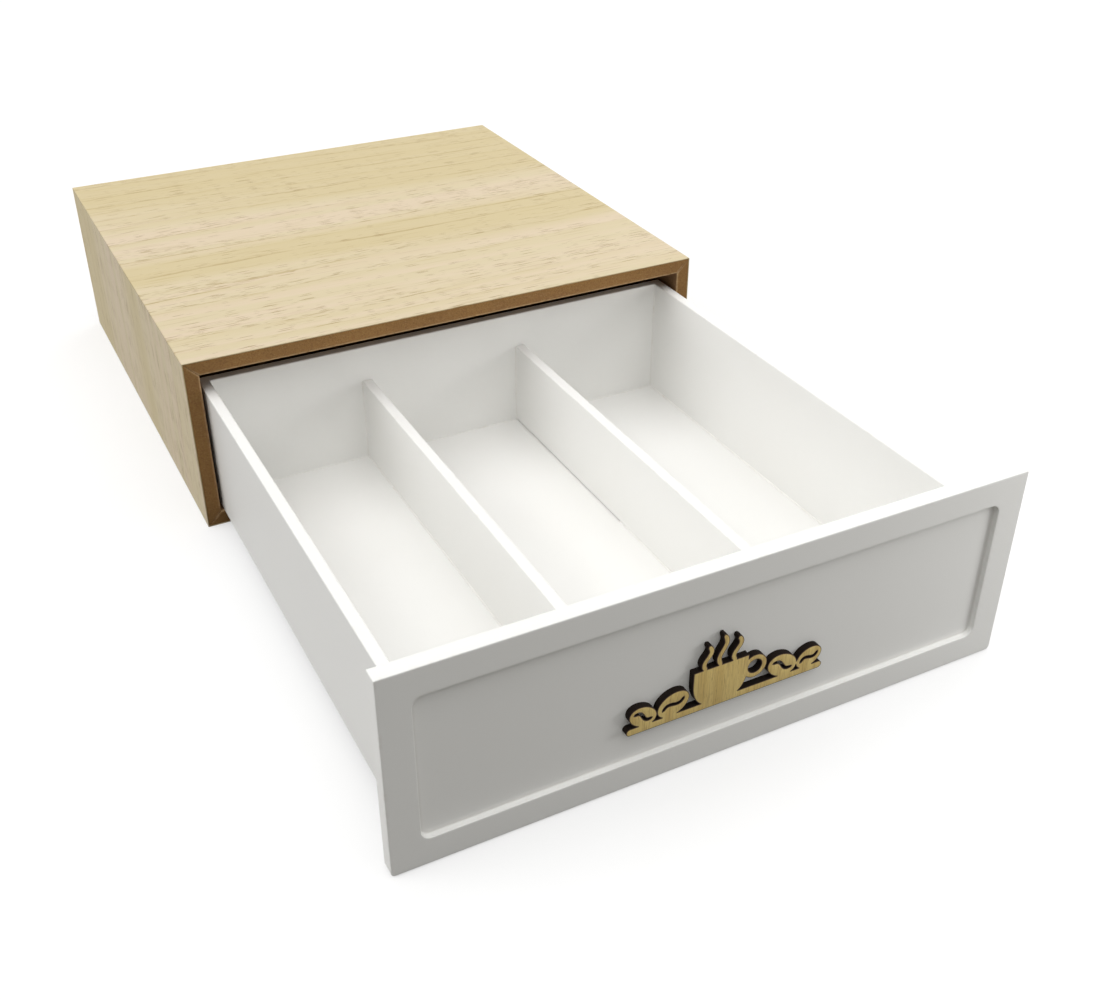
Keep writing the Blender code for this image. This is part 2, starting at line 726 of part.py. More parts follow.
def build_motif():
    """Build the plywood motif: a steaming cup between coffee beans on a base bar."""
    bar_top = MOTIF_BAR_HEIGHT
    overlap = MOTIF_SINK
    bar = rounded_rectangle(MOTIF_WIDTH, MOTIF_BAR_HEIGHT, MOTIF_BAR_HEIGHT / 2)
    bar = [(x, z + MOTIF_BAR_HEIGHT / 2) for x, z in bar]
    cup_foot_z = bar_top - overlap
    cup = [(x - MOTIF_CUP_SHIFT, z + cup_foot_z) for x, z in cup_outline()]
    rim_z = cup_foot_z + MOTIF_CUP_HEIGHT
    handle_z = rim_z - MOTIF_HANDLE_RADIUS - MOTIF_HANDLE_BAND / 2
    cup_side_x = MOTIF_CUP_WIDTH / 2 - MOTIF_CUP_SHIFT
    handle_x = cup_side_x + MOTIF_HANDLE_RADIUS - MOTIF_HANDLE_BAND
    handle = ring_outlines(MOTIF_HANDLE_RADIUS, MOTIF_HANDLE_BAND, (handle_x, handle_z))
    unions = [("cup", [cup]), ("handle", handle)]
    for place, share in zip((-1, 0, 1), STEAM_LENGTH_SHARES):
        start = (place * MOTIF_STEAM_SPACING - MOTIF_CUP_SHIFT, rim_z - overlap)
        length = MOTIF_STEAM_HEIGHT * share + overlap
        band = wave_outline(length, MOTIF_STEAM_WIDTH, MOTIF_STEAM_SWING, math.radians(90), start)
        unions.append((f"steam {place}", [band]))
    slots = []
    for number, share in enumerate(BEAN_PLACE_SHARES):
        scale = SMALL_BEAN_SHARE if number in (0, len(BEAN_PLACE_SHARES) - 1) else 1
        length = MOTIF_BEAN_LENGTH * scale
        breadth = MOTIF_BEAN_BREADTH * scale
        tilt = BEAN_TILT if number % 2 else math.pi - BEAN_TILT
        drop = math.hypot(length / 2 * math.sin(tilt), breadth / 2 * math.cos(tilt))
        centre = (share * MOTIF_WIDTH, bar_top - overlap + drop)
        unions.append((f"bean {number}", [ellipse_outline(length, breadth, tilt, centre)]))
        slot_length = length * BEAN_SLOT_SHARE
        start = turned_point(-slot_length / 2, 0, tilt, centre)
        slots.append(
            wave_outline(slot_length, MOTIF_BEAN_SLOT_WIDTH, MOTIF_BEAN_SLOT_SWING, tilt, start)
        )
    height = rim_z + MOTIF_STEAM_HEIGHT
    face_y = -FRONT_THICKNESS + RECESS_DEPTH - FIT_GAP
    place = (
        0,
        face_y - MOTIF_THICKNESS / 2,
        FRONT_CENTRE_Z - height / 2 - MOTIF_CENTRE_DROP,
    )
    raw_thickness = MOTIF_THICKNESS + 2 * CUT_OVERRUN
    bar_mesh = outline_mesh("front_motif", [bar], raw_thickness)
    motif = add_object("front_motif", bar_mesh, place, PLYWOOD, slide_carrier)
    for number, (label, outlines) in enumerate(unions, 1):
        # Each prism stands a little prouder than the last, so that no two faces share a plane
        thickness = raw_thickness + number * MOTIF_TRIM_STEP
        tool = add_cutter(
            "motif " + label, outline_mesh("motif " + label, outlines, thickness), place, slide_carrier
        )
        combine(motif, tool, "UNION")
    sheet = add_cutter(
        "motif sheet",
        block_mesh("motif sheet", (MOTIF_WIDTH * 2, MOTIF_THICKNESS, height * 3)),
        place,
        slide_carrier,
    )
    combine(motif, sheet, "INTERSECT")
    for number, slot in enumerate(slots):
        tool = add_cutter(
            f"motif slot {number}",
            outline_mesh(f"motif slot {number}", [slot], raw_thickness),
            place,
            slide_carrier,
        )
        cut(motif, tool)


def main():
    """Build every piece of the casing and the drawer."""
    build_casing()
    walls = build_drawer_box()
    build_front(walls["inner_front"])
    build_motif()


main()
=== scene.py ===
"""Looks of the coffee capsule drawer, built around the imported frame.

The casing is four mitred fibreboards under a pale veneer whose grain runs round the corners,
closed behind by a pinned hardboard panel.  The drawer is a box of painted boards with an
overlay front, a routed recess in it, and a laser-cut plywood motif glued in the recess.
Boards are rebuilt from the frame's boxes with rounded arrises, and joints that glue or paint
closes are drawn closed.  Lengths are in metres and +Z is up.
"""

from __future__ import annotations

import logging
import math
from collections.abc import Callable, Mapping, Sequence
from dataclasses import dataclass, field
from enum import Enum
from typing import Any, Union

import bmesh
import bpy
from bmesh.types import BMesh, BMEdge, BMVert
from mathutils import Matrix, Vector
from mathutils.geometry import delaunay_2d_cdt, intersect_point_line

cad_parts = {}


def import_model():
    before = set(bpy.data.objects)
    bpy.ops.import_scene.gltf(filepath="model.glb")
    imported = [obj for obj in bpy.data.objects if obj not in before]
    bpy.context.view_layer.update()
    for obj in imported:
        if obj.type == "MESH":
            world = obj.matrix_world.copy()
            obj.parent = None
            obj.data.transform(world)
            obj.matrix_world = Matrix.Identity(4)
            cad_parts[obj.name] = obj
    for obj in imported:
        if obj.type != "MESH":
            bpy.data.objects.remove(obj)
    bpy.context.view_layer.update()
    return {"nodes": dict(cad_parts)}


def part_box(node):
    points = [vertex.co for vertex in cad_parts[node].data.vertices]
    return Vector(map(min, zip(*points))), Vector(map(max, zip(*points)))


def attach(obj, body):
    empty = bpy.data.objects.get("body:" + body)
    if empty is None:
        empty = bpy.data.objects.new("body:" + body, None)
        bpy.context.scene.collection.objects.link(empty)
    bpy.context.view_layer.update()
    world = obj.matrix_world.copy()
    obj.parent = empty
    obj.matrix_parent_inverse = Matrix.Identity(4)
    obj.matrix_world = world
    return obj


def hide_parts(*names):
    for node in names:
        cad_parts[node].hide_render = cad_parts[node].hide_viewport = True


log = logging.getLogger("coffee_capsule_drawer")

Colour = tuple[float, float, float]
Size = tuple[float, float, float]
Place = tuple[float, float, float]
Profile = Sequence[tuple[float, float]]
MERGE_DISTANCE = 2e-6
SHARP_ANGLE = math.radians(36)
# A face with a flat on it has no edge shorter than this many times the flat's distance
BROAD_FACE = 2.2
QUARTER_TURN = math.radians(90)
REARWARDS = Vector((0, 1, 0))
# A pattern's size across a thin board, so long that it runs straight through
THROUGH = 1.0


class Body(Enum):
    """The two bodies that pieces ride on."""

    CASING = "casing"
    DRAWER = "drawer"


class Slot(Enum):
    """The material slots."""

    VENEER = "veneer"
    BOARD = "board"
    BACK_BOARD = "back_board"
    WHITE_PAINT = "white_paint"
    PLYWOOD = "plywood"
    ZINC_STEEL = "zinc_steel"
    STEEL_WIRE = "steel_wire"


class Side(Enum):
    """The casing's four sides, each with its outward direction across X and up Z."""

    TOP = (0, 1)
    BOTTOM = (0, -1)
    LEFT = (-1, 0)
    RIGHT = (1, 0)

    @property
    def label(self) -> str:
        """The side's name in lower case."""
        return self.name.lower()

    @property
    def outwards(self) -> Vector:
        """The direction that the side faces."""
        return Vector((self.value[0], 0, self.value[1]))

    @property
    def along(self) -> Vector:
        """The direction along the board, clockwise round the casing from the front."""
        return Vector((self.value[1], 0, -self.value[0]))


class Signal:
    """A number that varies over a surface: one output socket of a node tree.

    Arithmetic on it adds Math nodes, so that a mask reads as an expression.
    """

    def __init__(self, bench: NodeBench, socket: bpy.types.NodeSocket) -> None:
        """Wrap a socket of the bench's tree."""
        self.bench = bench
        self.socket = socket

    def _math(self, operation: str, first: Operand, second: Operand | None = None) -> Signal:
        """Add one Math node.

        Args:
            operation: the Math node's operation.
            first: its first value.
            second: its second value, if it has one.

        Returns:
            The node's result.
        """
        values = {0: first} if second is None else {0: first, 1: second}
        return self.bench.read("ShaderNodeMath", {"operation": operation}, values)

    def __add__(self, other: Operand) -> Signal:
        """This value plus another."""
        return self._math("ADD", self, other)

    __radd__ = __add__

    def __sub__(self, other: Operand) -> Signal:
        """This value less another."""
        return self._math("SUBTRACT", self, other)

    def __rsub__(self, other: Operand) -> Signal:
        """Another value less this one."""
        return self._math("SUBTRACT", other, self)

    def __mul__(self, other: Operand) -> Signal:
        """This value times another."""
        return self._math("MULTIPLY", self, other)

    __rmul__ = __mul__

    def __truediv__(self, other: Operand) -> Signal:
        """This value over another."""
        return self._math("DIVIDE", self, other)

    def __abs__(self) -> Signal:
        """This value without its sign."""
        return self._math("ABSOLUTE", self)

    def fraction(self) -> Signal:
        """The part of this value after the point."""
        return self._math("FRACT", self)

    def sine(self) -> Signal:
        """The sine of this value in radians."""
        return self._math("SINE", self)

    def rise(self, low: float, high: float) -> Signal:
        """Run smoothly from 0 at one value to 1 at another.

        Args:
            low: where the rise starts. It may be above high, for a fall.
            high: where it ends.

        Returns:
            The smooth step, between 0 and 1.
        """
        settings = {"interpolation_type": "SMOOTHSTEP", "clamp": True}
        if low < high:
            return self.bench.read("ShaderNodeMapRange", settings, {0: self, 1: low, 2: high})
        return 1 - self.bench.read("ShaderNodeMapRange", settings, {0: self, 1: high, 2: low})


Operand = Union[Signal, float]


class NodeBench:
    """Adds nodes to one shader or geometry tree.

    A dash's shortest length, its full-strength core and the fade of its draw are shares.
    """

    DASH_LEAST = 0.4
    DASH_CORE = 0.55
    DASH_FADE = 0.03

    def __init__(self, tree: bpy.types.NodeTree) -> None:
        """Work on a tree."""
        self.tree = tree

    def add(
        self,
        kind: str,
        settings: Mapping[str, Any] | None = None,
        sockets: Mapping[str | int, Any] | None = None,
    ) -> bpy.types.Node:
        """Add one node.

        Args:
            kind: the node's type.
            settings: its own properties, set first.
            sockets: values or links of its inputs, by name or place.

        Returns:
            The node.
        """
        node = self.tree.nodes.new(kind)
        for name, value in (settings or {}).items():
            setattr(node, name, value)
        for name, value in (sockets or {}).items():
            socket = node.inputs[name]
            if isinstance(value, Signal):
                self.tree.links.new(value.socket, socket)
            elif isinstance(value, bpy.types.NodeSocket):
                self.tree.links.new(value, socket)
            elif socket.type == "RGBA" and len(value) == 3:
                socket.default_value = (*value, 1.0)
            else:
                socket.default_value = value
        return node

    def read(
        self,
        kind: str,
        settings: Mapping[str, Any] | None = None,
        sockets: Mapping[str | int, Any] | None = None,
        output: str | int = 0,
    ) -> Signal:
        """Add one node and wrap one of its outputs.

        Args:
            kind: the node's type.
            settings: its own properties.
            sockets: values or links of its inputs.
            output: the output to wrap, by name or place.

        Returns:
            The wrapped output.
        """
        return Signal(self, self.add(kind, settings, sockets).outputs[output])

    def place(self) -> bpy.types.NodeSocket:
        """The point's place in the object, in metres."""
        return self.add("ShaderNodeTexCoord").outputs["Object"]

    def attribute(self, name: str) -> Signal:
        """A number kept on the mesh."""
        return self.read("ShaderNodeAttribute", {"attribute_name": name}, output="Fac")

    def attribute_vector(self, name: str) -> bpy.types.NodeSocket:
        """A vector kept on the mesh."""
        return self.add("ShaderNodeAttribute", {"attribute_name": name}).outputs["Vector"]

    def axes(self, vector: bpy.types.NodeSocket) -> tuple[Signal, Signal, Signal]:
        """Split a vector into its three numbers."""
        split = self.add("ShaderNodeSeparateXYZ", sockets={0: vector})
        return tuple(Signal(self, output) for output in split.outputs)

    def facing(self) -> Signal:
        """How far the surface faces +Y, from -1 to 1."""
        return self.axes(self.add("ShaderNodeNewGeometry").outputs["Normal"])[1]

    def _scaled(
        self, vector: bpy.types.NodeSocket, sizes: Sequence[float], shift: float = 0.0
    ) -> bpy.types.NodeSocket:
        """Scale a place so that a real size becomes one unit.

        Args:
            vector: the place.
            sizes: the size that becomes one unit along each axis.
            shift: how far the scaled place moves along every axis.

        Returns:
            The scaled place's socket.
        """
        scale = tuple(1 / length for length in sizes)
        values = {"Vector": vector, "Location": (shift, shift, shift), "Scale": scale}
        return self.add("ShaderNodeMapping", {"vector_type": "POINT"}, values).outputs[0]

    def noise(
        self,
        vector: bpy.types.NodeSocket,
        size: float | Sequence[float],
        detail: float = 2.0,
        roughness: float = 0.5,
        shift: float = 0.0,
    ) -> Signal:
        """Add noise whose lumps have a real size.

        Args:
            vector: the place that it reads.
            size: the lumps' size, alike all ways or one for each axis.
            detail: how many finer layers it has.
            roughness: how strong the finer layers are.
            shift: moves the pattern, so that two noises differ.

        Returns:
            The noise, about 0.5 on average.
        """
        sizes = (size, size, size) if isinstance(size, float) else size
        values = {
            "Vector": self._scaled(vector, sizes, shift),
            "Scale": 1.0,
            "Detail": detail,
            "Roughness": roughness,
        }
        return self.read("ShaderNodeTexNoise", {"noise_dimensions": "3D"}, values)

    def dashes(
        self, vector: bpy.types.NodeSocket, cell: Sequence[float], reach: float, density: Operand
    ) -> Signal:
        """Scatter one short dash in each cell of a stretched honeycomb.

        Args:
            vector: the place that it reads.
            cell: a cell's size along each axis.
            reach: the longest dash's half length, as a share of its cell.
            density: the share of the cells that hold a dash.

        Returns:
            1 in the middle of a dash, falling to 0 at its rim.
        """
        cells = self.add(
            "ShaderNodeTexVoronoi",
            {"voronoi_dimensions": "2D", "feature": "F1"},
            {"Vector": self._scaled(vector, cell), "Scale": 1.0, "Randomness": 1.0},
        ).outputs
        split = self.add("ShaderNodeSeparateColor", sockets={0: cells["Color"]}).outputs
        chosen = (density - Signal(self, split[0])).rise(-self.DASH_FADE, self.DASH_FADE)
        length = Signal(self, split[1]) * (1 - self.DASH_LEAST) + self.DASH_LEAST
        dash = (Signal(self, cells["Distance"]) / length).rise(reach, reach * self.DASH_CORE)
        return dash * chosen

    def coats(self, ground: Any, *coats: tuple[Operand, Any]) -> bpy.types.NodeSocket:
        """Lay coats of colour one over the other.

        Args:
            ground: the lowest colour, or its socket.
            coats: how much of each further coat shows, and its colour or socket.

        Returns:
            The mixed colour's socket.
        """
        # The node has its colours at inputs 6 and 7, and their mix at output 2
        settings = {"data_type": "RGBA", "clamp_factor": True}
        for share, colour in coats:
            mix = self.add("ShaderNodeMix", settings, {0: share, 6: ground, 7: colour})
            ground = mix.outputs[2]
        return ground

    def bump(self, height: Signal, rise: float, strength: float) -> bpy.types.NodeSocket:
        """Turn a height between 0 and 1 into a bumped normal.

        Args:
            height: the height signal.
            rise: what 1 stands for, in metres.
            strength: how strongly it shows.

        Returns:
            The normal's socket.
        """
        values = {"Height": height, "Distance": rise, "Strength": strength}
        return self.add("ShaderNodeBump", sockets=values).outputs[0]


def cleared(owner: bpy.types.Material | bpy.types.World) -> NodeBench:
    """Empty a material's or a world's node tree.

    Args:
        owner: the material or world.

    Returns:
        A bench on its tree.
    """
    owner.use_nodes = True
    owner.node_tree.nodes.clear()
    return NodeBench(owner.node_tree)


@dataclass(frozen=True)
class Finish:
    """What every finish shares: a name, a slot, and a way to make its material.

    Sizes and colours are fields. A mask's thresholds and shares stand in its expression.
    """

    label: str
    slot: Slot

    def material(self) -> bpy.types.Material:
        """Make the finish's material, the first time that it is asked for.

        Returns:
            The material.
        """
        made = bpy.data.materials.get(self.label)
        if made is None:
            made = bpy.data.materials.new(self.label)
            bench = cleared(made)
            shader = bench.add("ShaderNodeBsdfPrincipled", sockets=self.surface(bench))
            bench.add("ShaderNodeOutputMaterial", sockets={"Surface": shader.outputs[0]})
        return made

    def surface(self, bench: NodeBench) -> dict[str, Any]:
        """Return the Principled shader's inputs."""
        raise NotImplementedError


@dataclass(frozen=True)
class SatinPaint(Finish):
    """Rolled satin paint: faint stipple, slow waviness, thin arrises, dust and painted shade in the
    recess.
    """

    label: str = "white satin paint"
    slot: Slot = Slot.WHITE_PAINT
    colour: Colour = (0.885, 0.882, 0.861)
    shade: Colour = (0.840, 0.830, 0.799)
    bare_arris: Colour = (0.560, 0.510, 0.440)
    # Dust and painted shade: darkens the recess's floor where it meets the cove
    dust: Colour = (0.520, 0.500, 0.455)
    roughness: float = 0.42
    stipple_size: float = 0.0011
    wave_size: float = 0.017
    cloud_size: float = 0.075
    rub_size: float = 0.006
    stipple_height: float = 0.00008
    ior: float = 1.47

    def surface(self, bench: NodeBench) -> dict[str, Any]:
        """Mix clouds and stipple, dust and painted shade on them, and bare arrises.

        Args:
            bench: adds the material's nodes.

        Returns:
            The Principled shader's inputs by name.
        """
        place = bench.place()
        stipple = bench.noise(place, self.stipple_size)
        wave = bench.noise(place, self.wave_size, shift=3.1)
        cloud = bench.noise(place, self.cloud_size, 3.0, shift=7.7)
        rub = bench.noise(place, self.rub_size, 3.0, 0.6, shift=1.9)
        worn = bench.attribute("arris") * rub.rise(0.50, 0.74)
        tone = cloud.rise(0.30, 0.78) * 0.22 + stipple.rise(0.45, 0.8) * 0.08
        # Dust and painted shade, strongest where the recess's floor meets its cove
        recess_dust_and_painted_shade = bench.attribute("dust") * (0.18 + rub * 0.24)
        coats = ((tone, self.shade), (recess_dust_and_painted_shade, self.dust), (worn * 0.16, self.bare_arris))
        height = stipple * 0.45 + wave * 0.9
        return {
            "Base Color": bench.coats(self.colour, *coats),
            "Roughness": self.roughness + stipple * 0.10 + worn * 0.1 - cloud * 0.05,
            "Normal": bench.bump(height, self.stipple_height, 0.25),
            "IOR": self.ior,
        }


@dataclass(frozen=True)
class Caulk(Finish):
    """The painter's bead in the joints, a little warmer and smoother than the boards."""

    label: str = "painted joint bead"
    slot: Slot = Slot.WHITE_PAINT
    colour: Colour = (0.865, 0.855, 0.826)
    soiled: Colour = (0.700, 0.655, 0.580)
    dust_size: float = 0.012
    lump_size: float = 0.002
    lump_height: float = 0.0001

    def surface(self, bench: NodeBench) -> dict[str, Any]:
        """Mix the bead's colour with the dirt that has gathered on it.

        Args:
            bench: adds the material's nodes.

        Returns:
            The Principled shader's inputs by name.
        """
        place = bench.place()
        dust = bench.noise(place, self.dust_size, 3.0, 0.6).rise(0.52, 0.82)
        return {
            "Base Color": bench.coats(self.colour, (dust * 0.55, self.soiled)),
            "Roughness": 0.5 + dust * 0.15,
            "Normal": bench.bump(bench.noise(place, self.lump_size), self.lump_height, 0.3),
        }


@dataclass(frozen=True)
class WrappedVeneer(Finish):
    """Pale ring-porous veneer. Its grain follows the mesh's wrap: x along it, y across it.

    Each growth ring starts with a dark line, and open pores follow it and thin out.
    """

    label: str = "pale open-grained veneer"
    slot: Slot = Slot.VENEER
    cream: Colour = (0.642, 0.549, 0.368)
    blush: Colour = (0.664, 0.548, 0.398)
    straw: Colour = (0.573, 0.470, 0.250)
    olive: Colour = (0.420, 0.305, 0.130)
    pore: Colour = (0.290, 0.185, 0.072)
    ring_pitch: float = 0.0215
    rearward_ripening: float = 1.2
    spacing_size: Size = (2.4, 0.045, THROUGH)
    sway_size: Size = (0.34, 0.070, THROUGH)
    jitter_size: Size = (0.012, 0.004, THROUGH)
    zone_size: Size = (0.9, 0.070, THROUGH)
    line_size: Size = (0.055, 0.0080, THROUGH)
    year_size: Size = (1.6, 0.011, THROUGH)
    smudge_size: Size = (0.013, 0.0013, THROUGH)
    patch_size: Size = (0.09, 0.018, THROUGH)
    band_size: Size = (0.5, 0.012, THROUGH)
    fibre_size: Size = (0.040, 0.00085, THROUGH)
    vein_cell: Size = (0.0480, 0.0014, THROUGH)
    long_pore_cell: Size = (0.0230, 0.00105, THROUGH)
    short_pore_cell: Size = (0.0110, 0.0009, THROUGH)
    pore_depth: float = 0.00010
    ior: float = 1.45

    def surface(self, bench: NodeBench) -> dict[str, Any]:
        """Mix ground and bands, then growth lines, smudges, veins and open pores.

        Args:
            bench: adds the material's nodes.

        Returns:
            The Principled shader's inputs by name.
        """
        wrap = bench.attribute_vector("wrap")
        _, across, _ = bench.axes(wrap)
        spacing = bench.noise(wrap, self.spacing_size, 1.0, 0.4, shift=1.3)
        sway = bench.noise(wrap, self.sway_size, 2.0, 0.45, shift=4.4)
        jitter = bench.noise(wrap, self.jitter_size, 3.0, 0.6, shift=3.6)
        phase = (across / self.ring_pitch + spacing * 4.2 + sway * 2.2 + jitter * 0.10).fraction()
        zone = bench.noise(wrap, self.zone_size, 1.0, 0.4) + across * self.rearward_ripening
        summer = zone.rise(0.48, 0.62)
        line_strength = bench.noise(wrap, self.line_size, 3.0, 0.6, shift=7.9)
        year_strength = bench.noise(wrap, self.year_size, 1.0, 0.4, shift=5.2)
        line_phase = phase / (0.60 + summer * 0.45 + year_strength * 0.45)
        line_body = line_phase.rise(0.095, 0.010) * phase.rise(0.0, 0.012)
        year = year_strength.rise(0.30, 0.62) * 0.7 + 0.3
        line = line_body * line_strength.rise(0.34, 0.66) * year
        smudge_noise = bench.noise(wrap, self.smudge_size, 2.0, 0.5, shift=11.0)
        smudge = phase.rise(0.20, 0.03) * smudge_noise.rise(0.54, 0.68)
        patch = bench.noise(wrap, self.patch_size, 2.0, 0.5, shift=9.3).rise(0.36, 0.62)
        density = phase.rise(0.85, 0.05) * (patch * 0.48 + 0.18) + 0.05
        pores = bench.dashes(wrap, self.long_pore_cell, 0.28, density * (1.10 - summer * 0.65))
        specks = bench.dashes(wrap, self.short_pore_cell, 0.28, density * 0.7 + patch * 0.06)
        veins = bench.dashes(wrap, self.vein_cell, 0.36, density + 0.30)
        fibre = bench.noise(wrap, self.fibre_size, 3.0, 0.6, shift=6.1)
        band = bench.noise(wrap, self.band_size, 2.0, 0.5, shift=8.2)
        marks = line * (0.80 + summer * 0.30) + smudge * 0.45 + veins * 0.36
        cut_edge = abs(bench.facing()).rise(0.50, 0.80)
        coats = (
            (band.rise(0.40, 0.64) * (1 - summer), self.blush),
            (summer * 0.65 + band.rise(0.62, 0.38) * 0.12, self.straw),
            (phase.rise(0.55, 1.0) * 0.28, self.straw),
            (fibre.rise(0.44, 0.80) * 0.34, self.straw),
            (marks, self.olive),
            (specks * 0.60, self.pore),
            (pores * 0.90, self.pore),
            (cut_edge * 0.75, self.olive),
        )
        height = fibre * 0.3 - pores * 0.7 - specks * 0.4 - line * 0.3
        return {
            "Base Color": bench.coats(self.cream, *coats),
            "Roughness": 0.50 + pores * 0.25 + fibre * 0.12,
            "Normal": bench.bump(height, self.pore_depth, 0.40),
            "IOR": self.ior,
        }


@dataclass(frozen=True)
class Fibreboard(Finish):
    """Raw brown fibreboard: felted and flecked where it is sawn, smoother on its faces."""

    label: str = "brown fibreboard"
    slot: Slot = Slot.BOARD
    sawn: Colour = (0.296, 0.157, 0.051)
    face: Colour = (0.235, 0.130, 0.058)
    dark_fleck: Colour = (0.155, 0.076, 0.030)
    # Pale flecks; along the mouth's inner arrises the same colour is pale fuzz and a painted highlight
    pale_fleck: Colour = (0.540, 0.360, 0.190)
    fleck_size: float = 0.00075
    felt_size: float = 0.0028
    cloud_size: float = 0.034
    streak_size: Size = (0.012, 0.012, 0.0008)
    felt_height: float = 0.00016
    ior: float = 1.38

    def surface(self, bench: NodeBench) -> dict[str, Any]:
        """Mix clouds and flecks, and pale fuzz with a painted highlight along the arrises.

        Args:
            bench: adds the material's nodes.

        Returns:
            The Principled shader's inputs by name.
        """
        place = bench.place()
        sawn_end = abs(bench.facing()).rise(0.55, 0.85)
        fleck = bench.noise(place, self.fleck_size, 3.0, 0.7)
        felt = bench.noise(place, self.felt_size, 3.0, 0.6, shift=2.7)
        cloud = bench.noise(place, self.cloud_size, 3.0, 0.55, shift=5.1)
        streak = bench.noise(place, self.streak_size, 2.0, 0.6, shift=8.8)
        pale = fleck.rise(0.56, 0.74) * 0.34 + streak.rise(0.60, 0.8) * 0.12
        coats = (
            (sawn_end, self.sawn),
            (cloud.rise(0.35, 0.75) * 0.30, self.dark_fleck),
            (fleck.rise(0.50, 0.36) * 0.50, self.dark_fleck),
            (pale, self.pale_fleck),
            # Pale fuzz and a painted highlight along the mouth's inner arrises
            (bench.attribute("arris") * felt.rise(0.25, 0.58) * 0.80, self.pale_fleck),
        )
        height = fleck * 0.6 + felt * 0.6 + sawn_end * fleck * 0.6
        return {
            "Base Color": bench.coats(self.face, *coats),
            "Roughness": 0.70 + sawn_end * 0.12 + fleck * 0.10,
            "Normal": bench.bump(height, self.felt_height, 0.55),
            "IOR": self.ior,
        }


@dataclass(frozen=True)
class Hardboard(Finish):
    """Thin pressed hardboard: smooth inside, with the press screen's weave on its back."""

    label: str = "pressed hardboard"
    slot: Slot = Slot.BACK_BOARD
    smooth: Colour = (0.165, 0.092, 0.046)
    screened: Colour = (0.250, 0.150, 0.082)
    hollow: Colour = (0.110, 0.058, 0.029)
    screen_pitch: float = 0.0021
    screen_height: float = 0.00022
    wander_size: float = 0.012
    cloud_size: float = 0.05
    fibre_size: Size = (0.004, THROUGH, 0.0011)

    def surface(self, bench: NodeBench) -> dict[str, Any]:
        """Mix clouds and fibres, and the screen's pits behind.

        Args:
            bench: adds the material's nodes.

        Returns:
            The Principled shader's inputs by name.
        """
        place = bench.place()
        x, _, z = bench.axes(place)
        rear = bench.facing().rise(0.5, 0.8)
        turn = 4 * QUARTER_TURN / self.screen_pitch
        wander = bench.noise(place, self.wander_size, shift=3.3) * 1.4
        weave = (x * turn + wander).sine() * (z * turn + wander).sine()
        fibre = bench.noise(place, self.fibre_size, 3.0, 0.65, shift=6.6)
        cloud = bench.noise(place, self.cloud_size, 3.0, shift=1.2)
        pits = weave.rise(0.1, -0.75) * rear
        coats = (
            (rear, self.screened),
            (cloud.rise(0.4, 0.75) * 0.35, self.smooth),
            (fibre.rise(0.5, 0.8) * 0.35, self.hollow),
            (pits * 0.6, self.hollow),
        )
        return {
            "Base Color": bench.coats(self.smooth, *coats),
            "Roughness": 0.48 + rear * 0.26 + fibre * 0.10,
            "Normal": bench.bump(weave * rear * 0.5 + fibre * 0.3, self.screen_height, 0.6),
        }


@dataclass(frozen=True)
class PlywoodFace(Finish):
    """The motif's face: tan veneer with upright grain and a scorched rim."""

    label: str = "laser-cut plywood face"
    slot: Slot = Slot.PLYWOOD
    pale: Colour = (0.765, 0.585, 0.215)
    tan: Colour = (0.610, 0.425, 0.135)
    streak: Colour = (0.300, 0.170, 0.060)
    scorched: Colour = (0.045, 0.019, 0.009)
    grain_size: Size = (0.00065, THROUGH, 0.016)
    band_size: Size = (0.0042, THROUGH, 0.05)
    dash_size: Size = (0.00028, THROUGH, 0.0034)
    smoke_size: float = 0.003
    grain_height: float = 0.00007

    def surface(self, bench: NodeBench) -> dict[str, Any]:
        """Mix bands and upright grain, and scorch round the rim.

        Args:
            bench: adds the material's nodes.

        Returns:
            The Principled shader's inputs by name.
        """
        place = bench.place()
        grain = bench.noise(place, self.grain_size, 3.0, 0.6)
        band = bench.noise(place, self.band_size, 2.0, 0.5, shift=4.0)
        dash = bench.noise(place, self.dash_size, 1.0, 0.5, shift=7.0).rise(0.60, 0.74)
        smoke = bench.noise(place, self.smoke_size, 2.0, 0.6, shift=2.0)
        scorch = bench.attribute("scorch")
        coats = (
            (band.rise(0.32, 0.70) * 0.75, self.tan),
            (grain.rise(0.48, 0.74) * 0.50, self.streak),
            (dash * 0.45, self.streak),
            (scorch.rise(0.12, 0.64) + scorch * smoke * 0.25, self.scorched),
        )
        return {
            "Base Color": bench.coats(self.pale, *coats),
            "Roughness": 0.52 + grain * 0.14 + scorch * 0.15,
            "Normal": bench.bump((grain - dash) * 0.5, self.grain_height, 0.45),
        }


@dataclass(frozen=True)
class BurntEdge(Finish):
    """The motif's laser-cut edge: charred, with its plies and the beam's fine ribs."""

    label: str = "charred plywood edge"
    slot: Slot = Slot.PLYWOOD
    char: Colour = (0.0060, 0.0042, 0.0034)
    ash: Colour = (0.022, 0.013, 0.008)
    ply_thickness: float = 0.001
    soot_size: Size = (0.0004, 0.002, 0.0004)
    soot_height: float = 0.00008
    specular: float = 0.12

    def surface(self, bench: NodeBench) -> dict[str, Any]:
        """Mix char and ash, ply by ply.

        Args:
            bench: adds the material's nodes.

        Returns:
            The Principled shader's inputs by name.
        """
        place = bench.place()
        _, y, _ = bench.axes(place)
        ply = (y / self.ply_thickness).fraction().rise(0.35, 0.65)
        soot = bench.noise(place, self.soot_size, 3.0, 0.6)
        ashen = soot.rise(0.4, 0.75) * 0.6 + ply * 0.25
        return {
            "Base Color": bench.coats(self.char, (ashen, self.ash)),
            "Roughness": 0.80 + soot * 0.15,
            "Normal": bench.bump(soot + ply * 0.4, self.soot_height, 0.5),
            "Specular IOR Level": self.specular,
        }


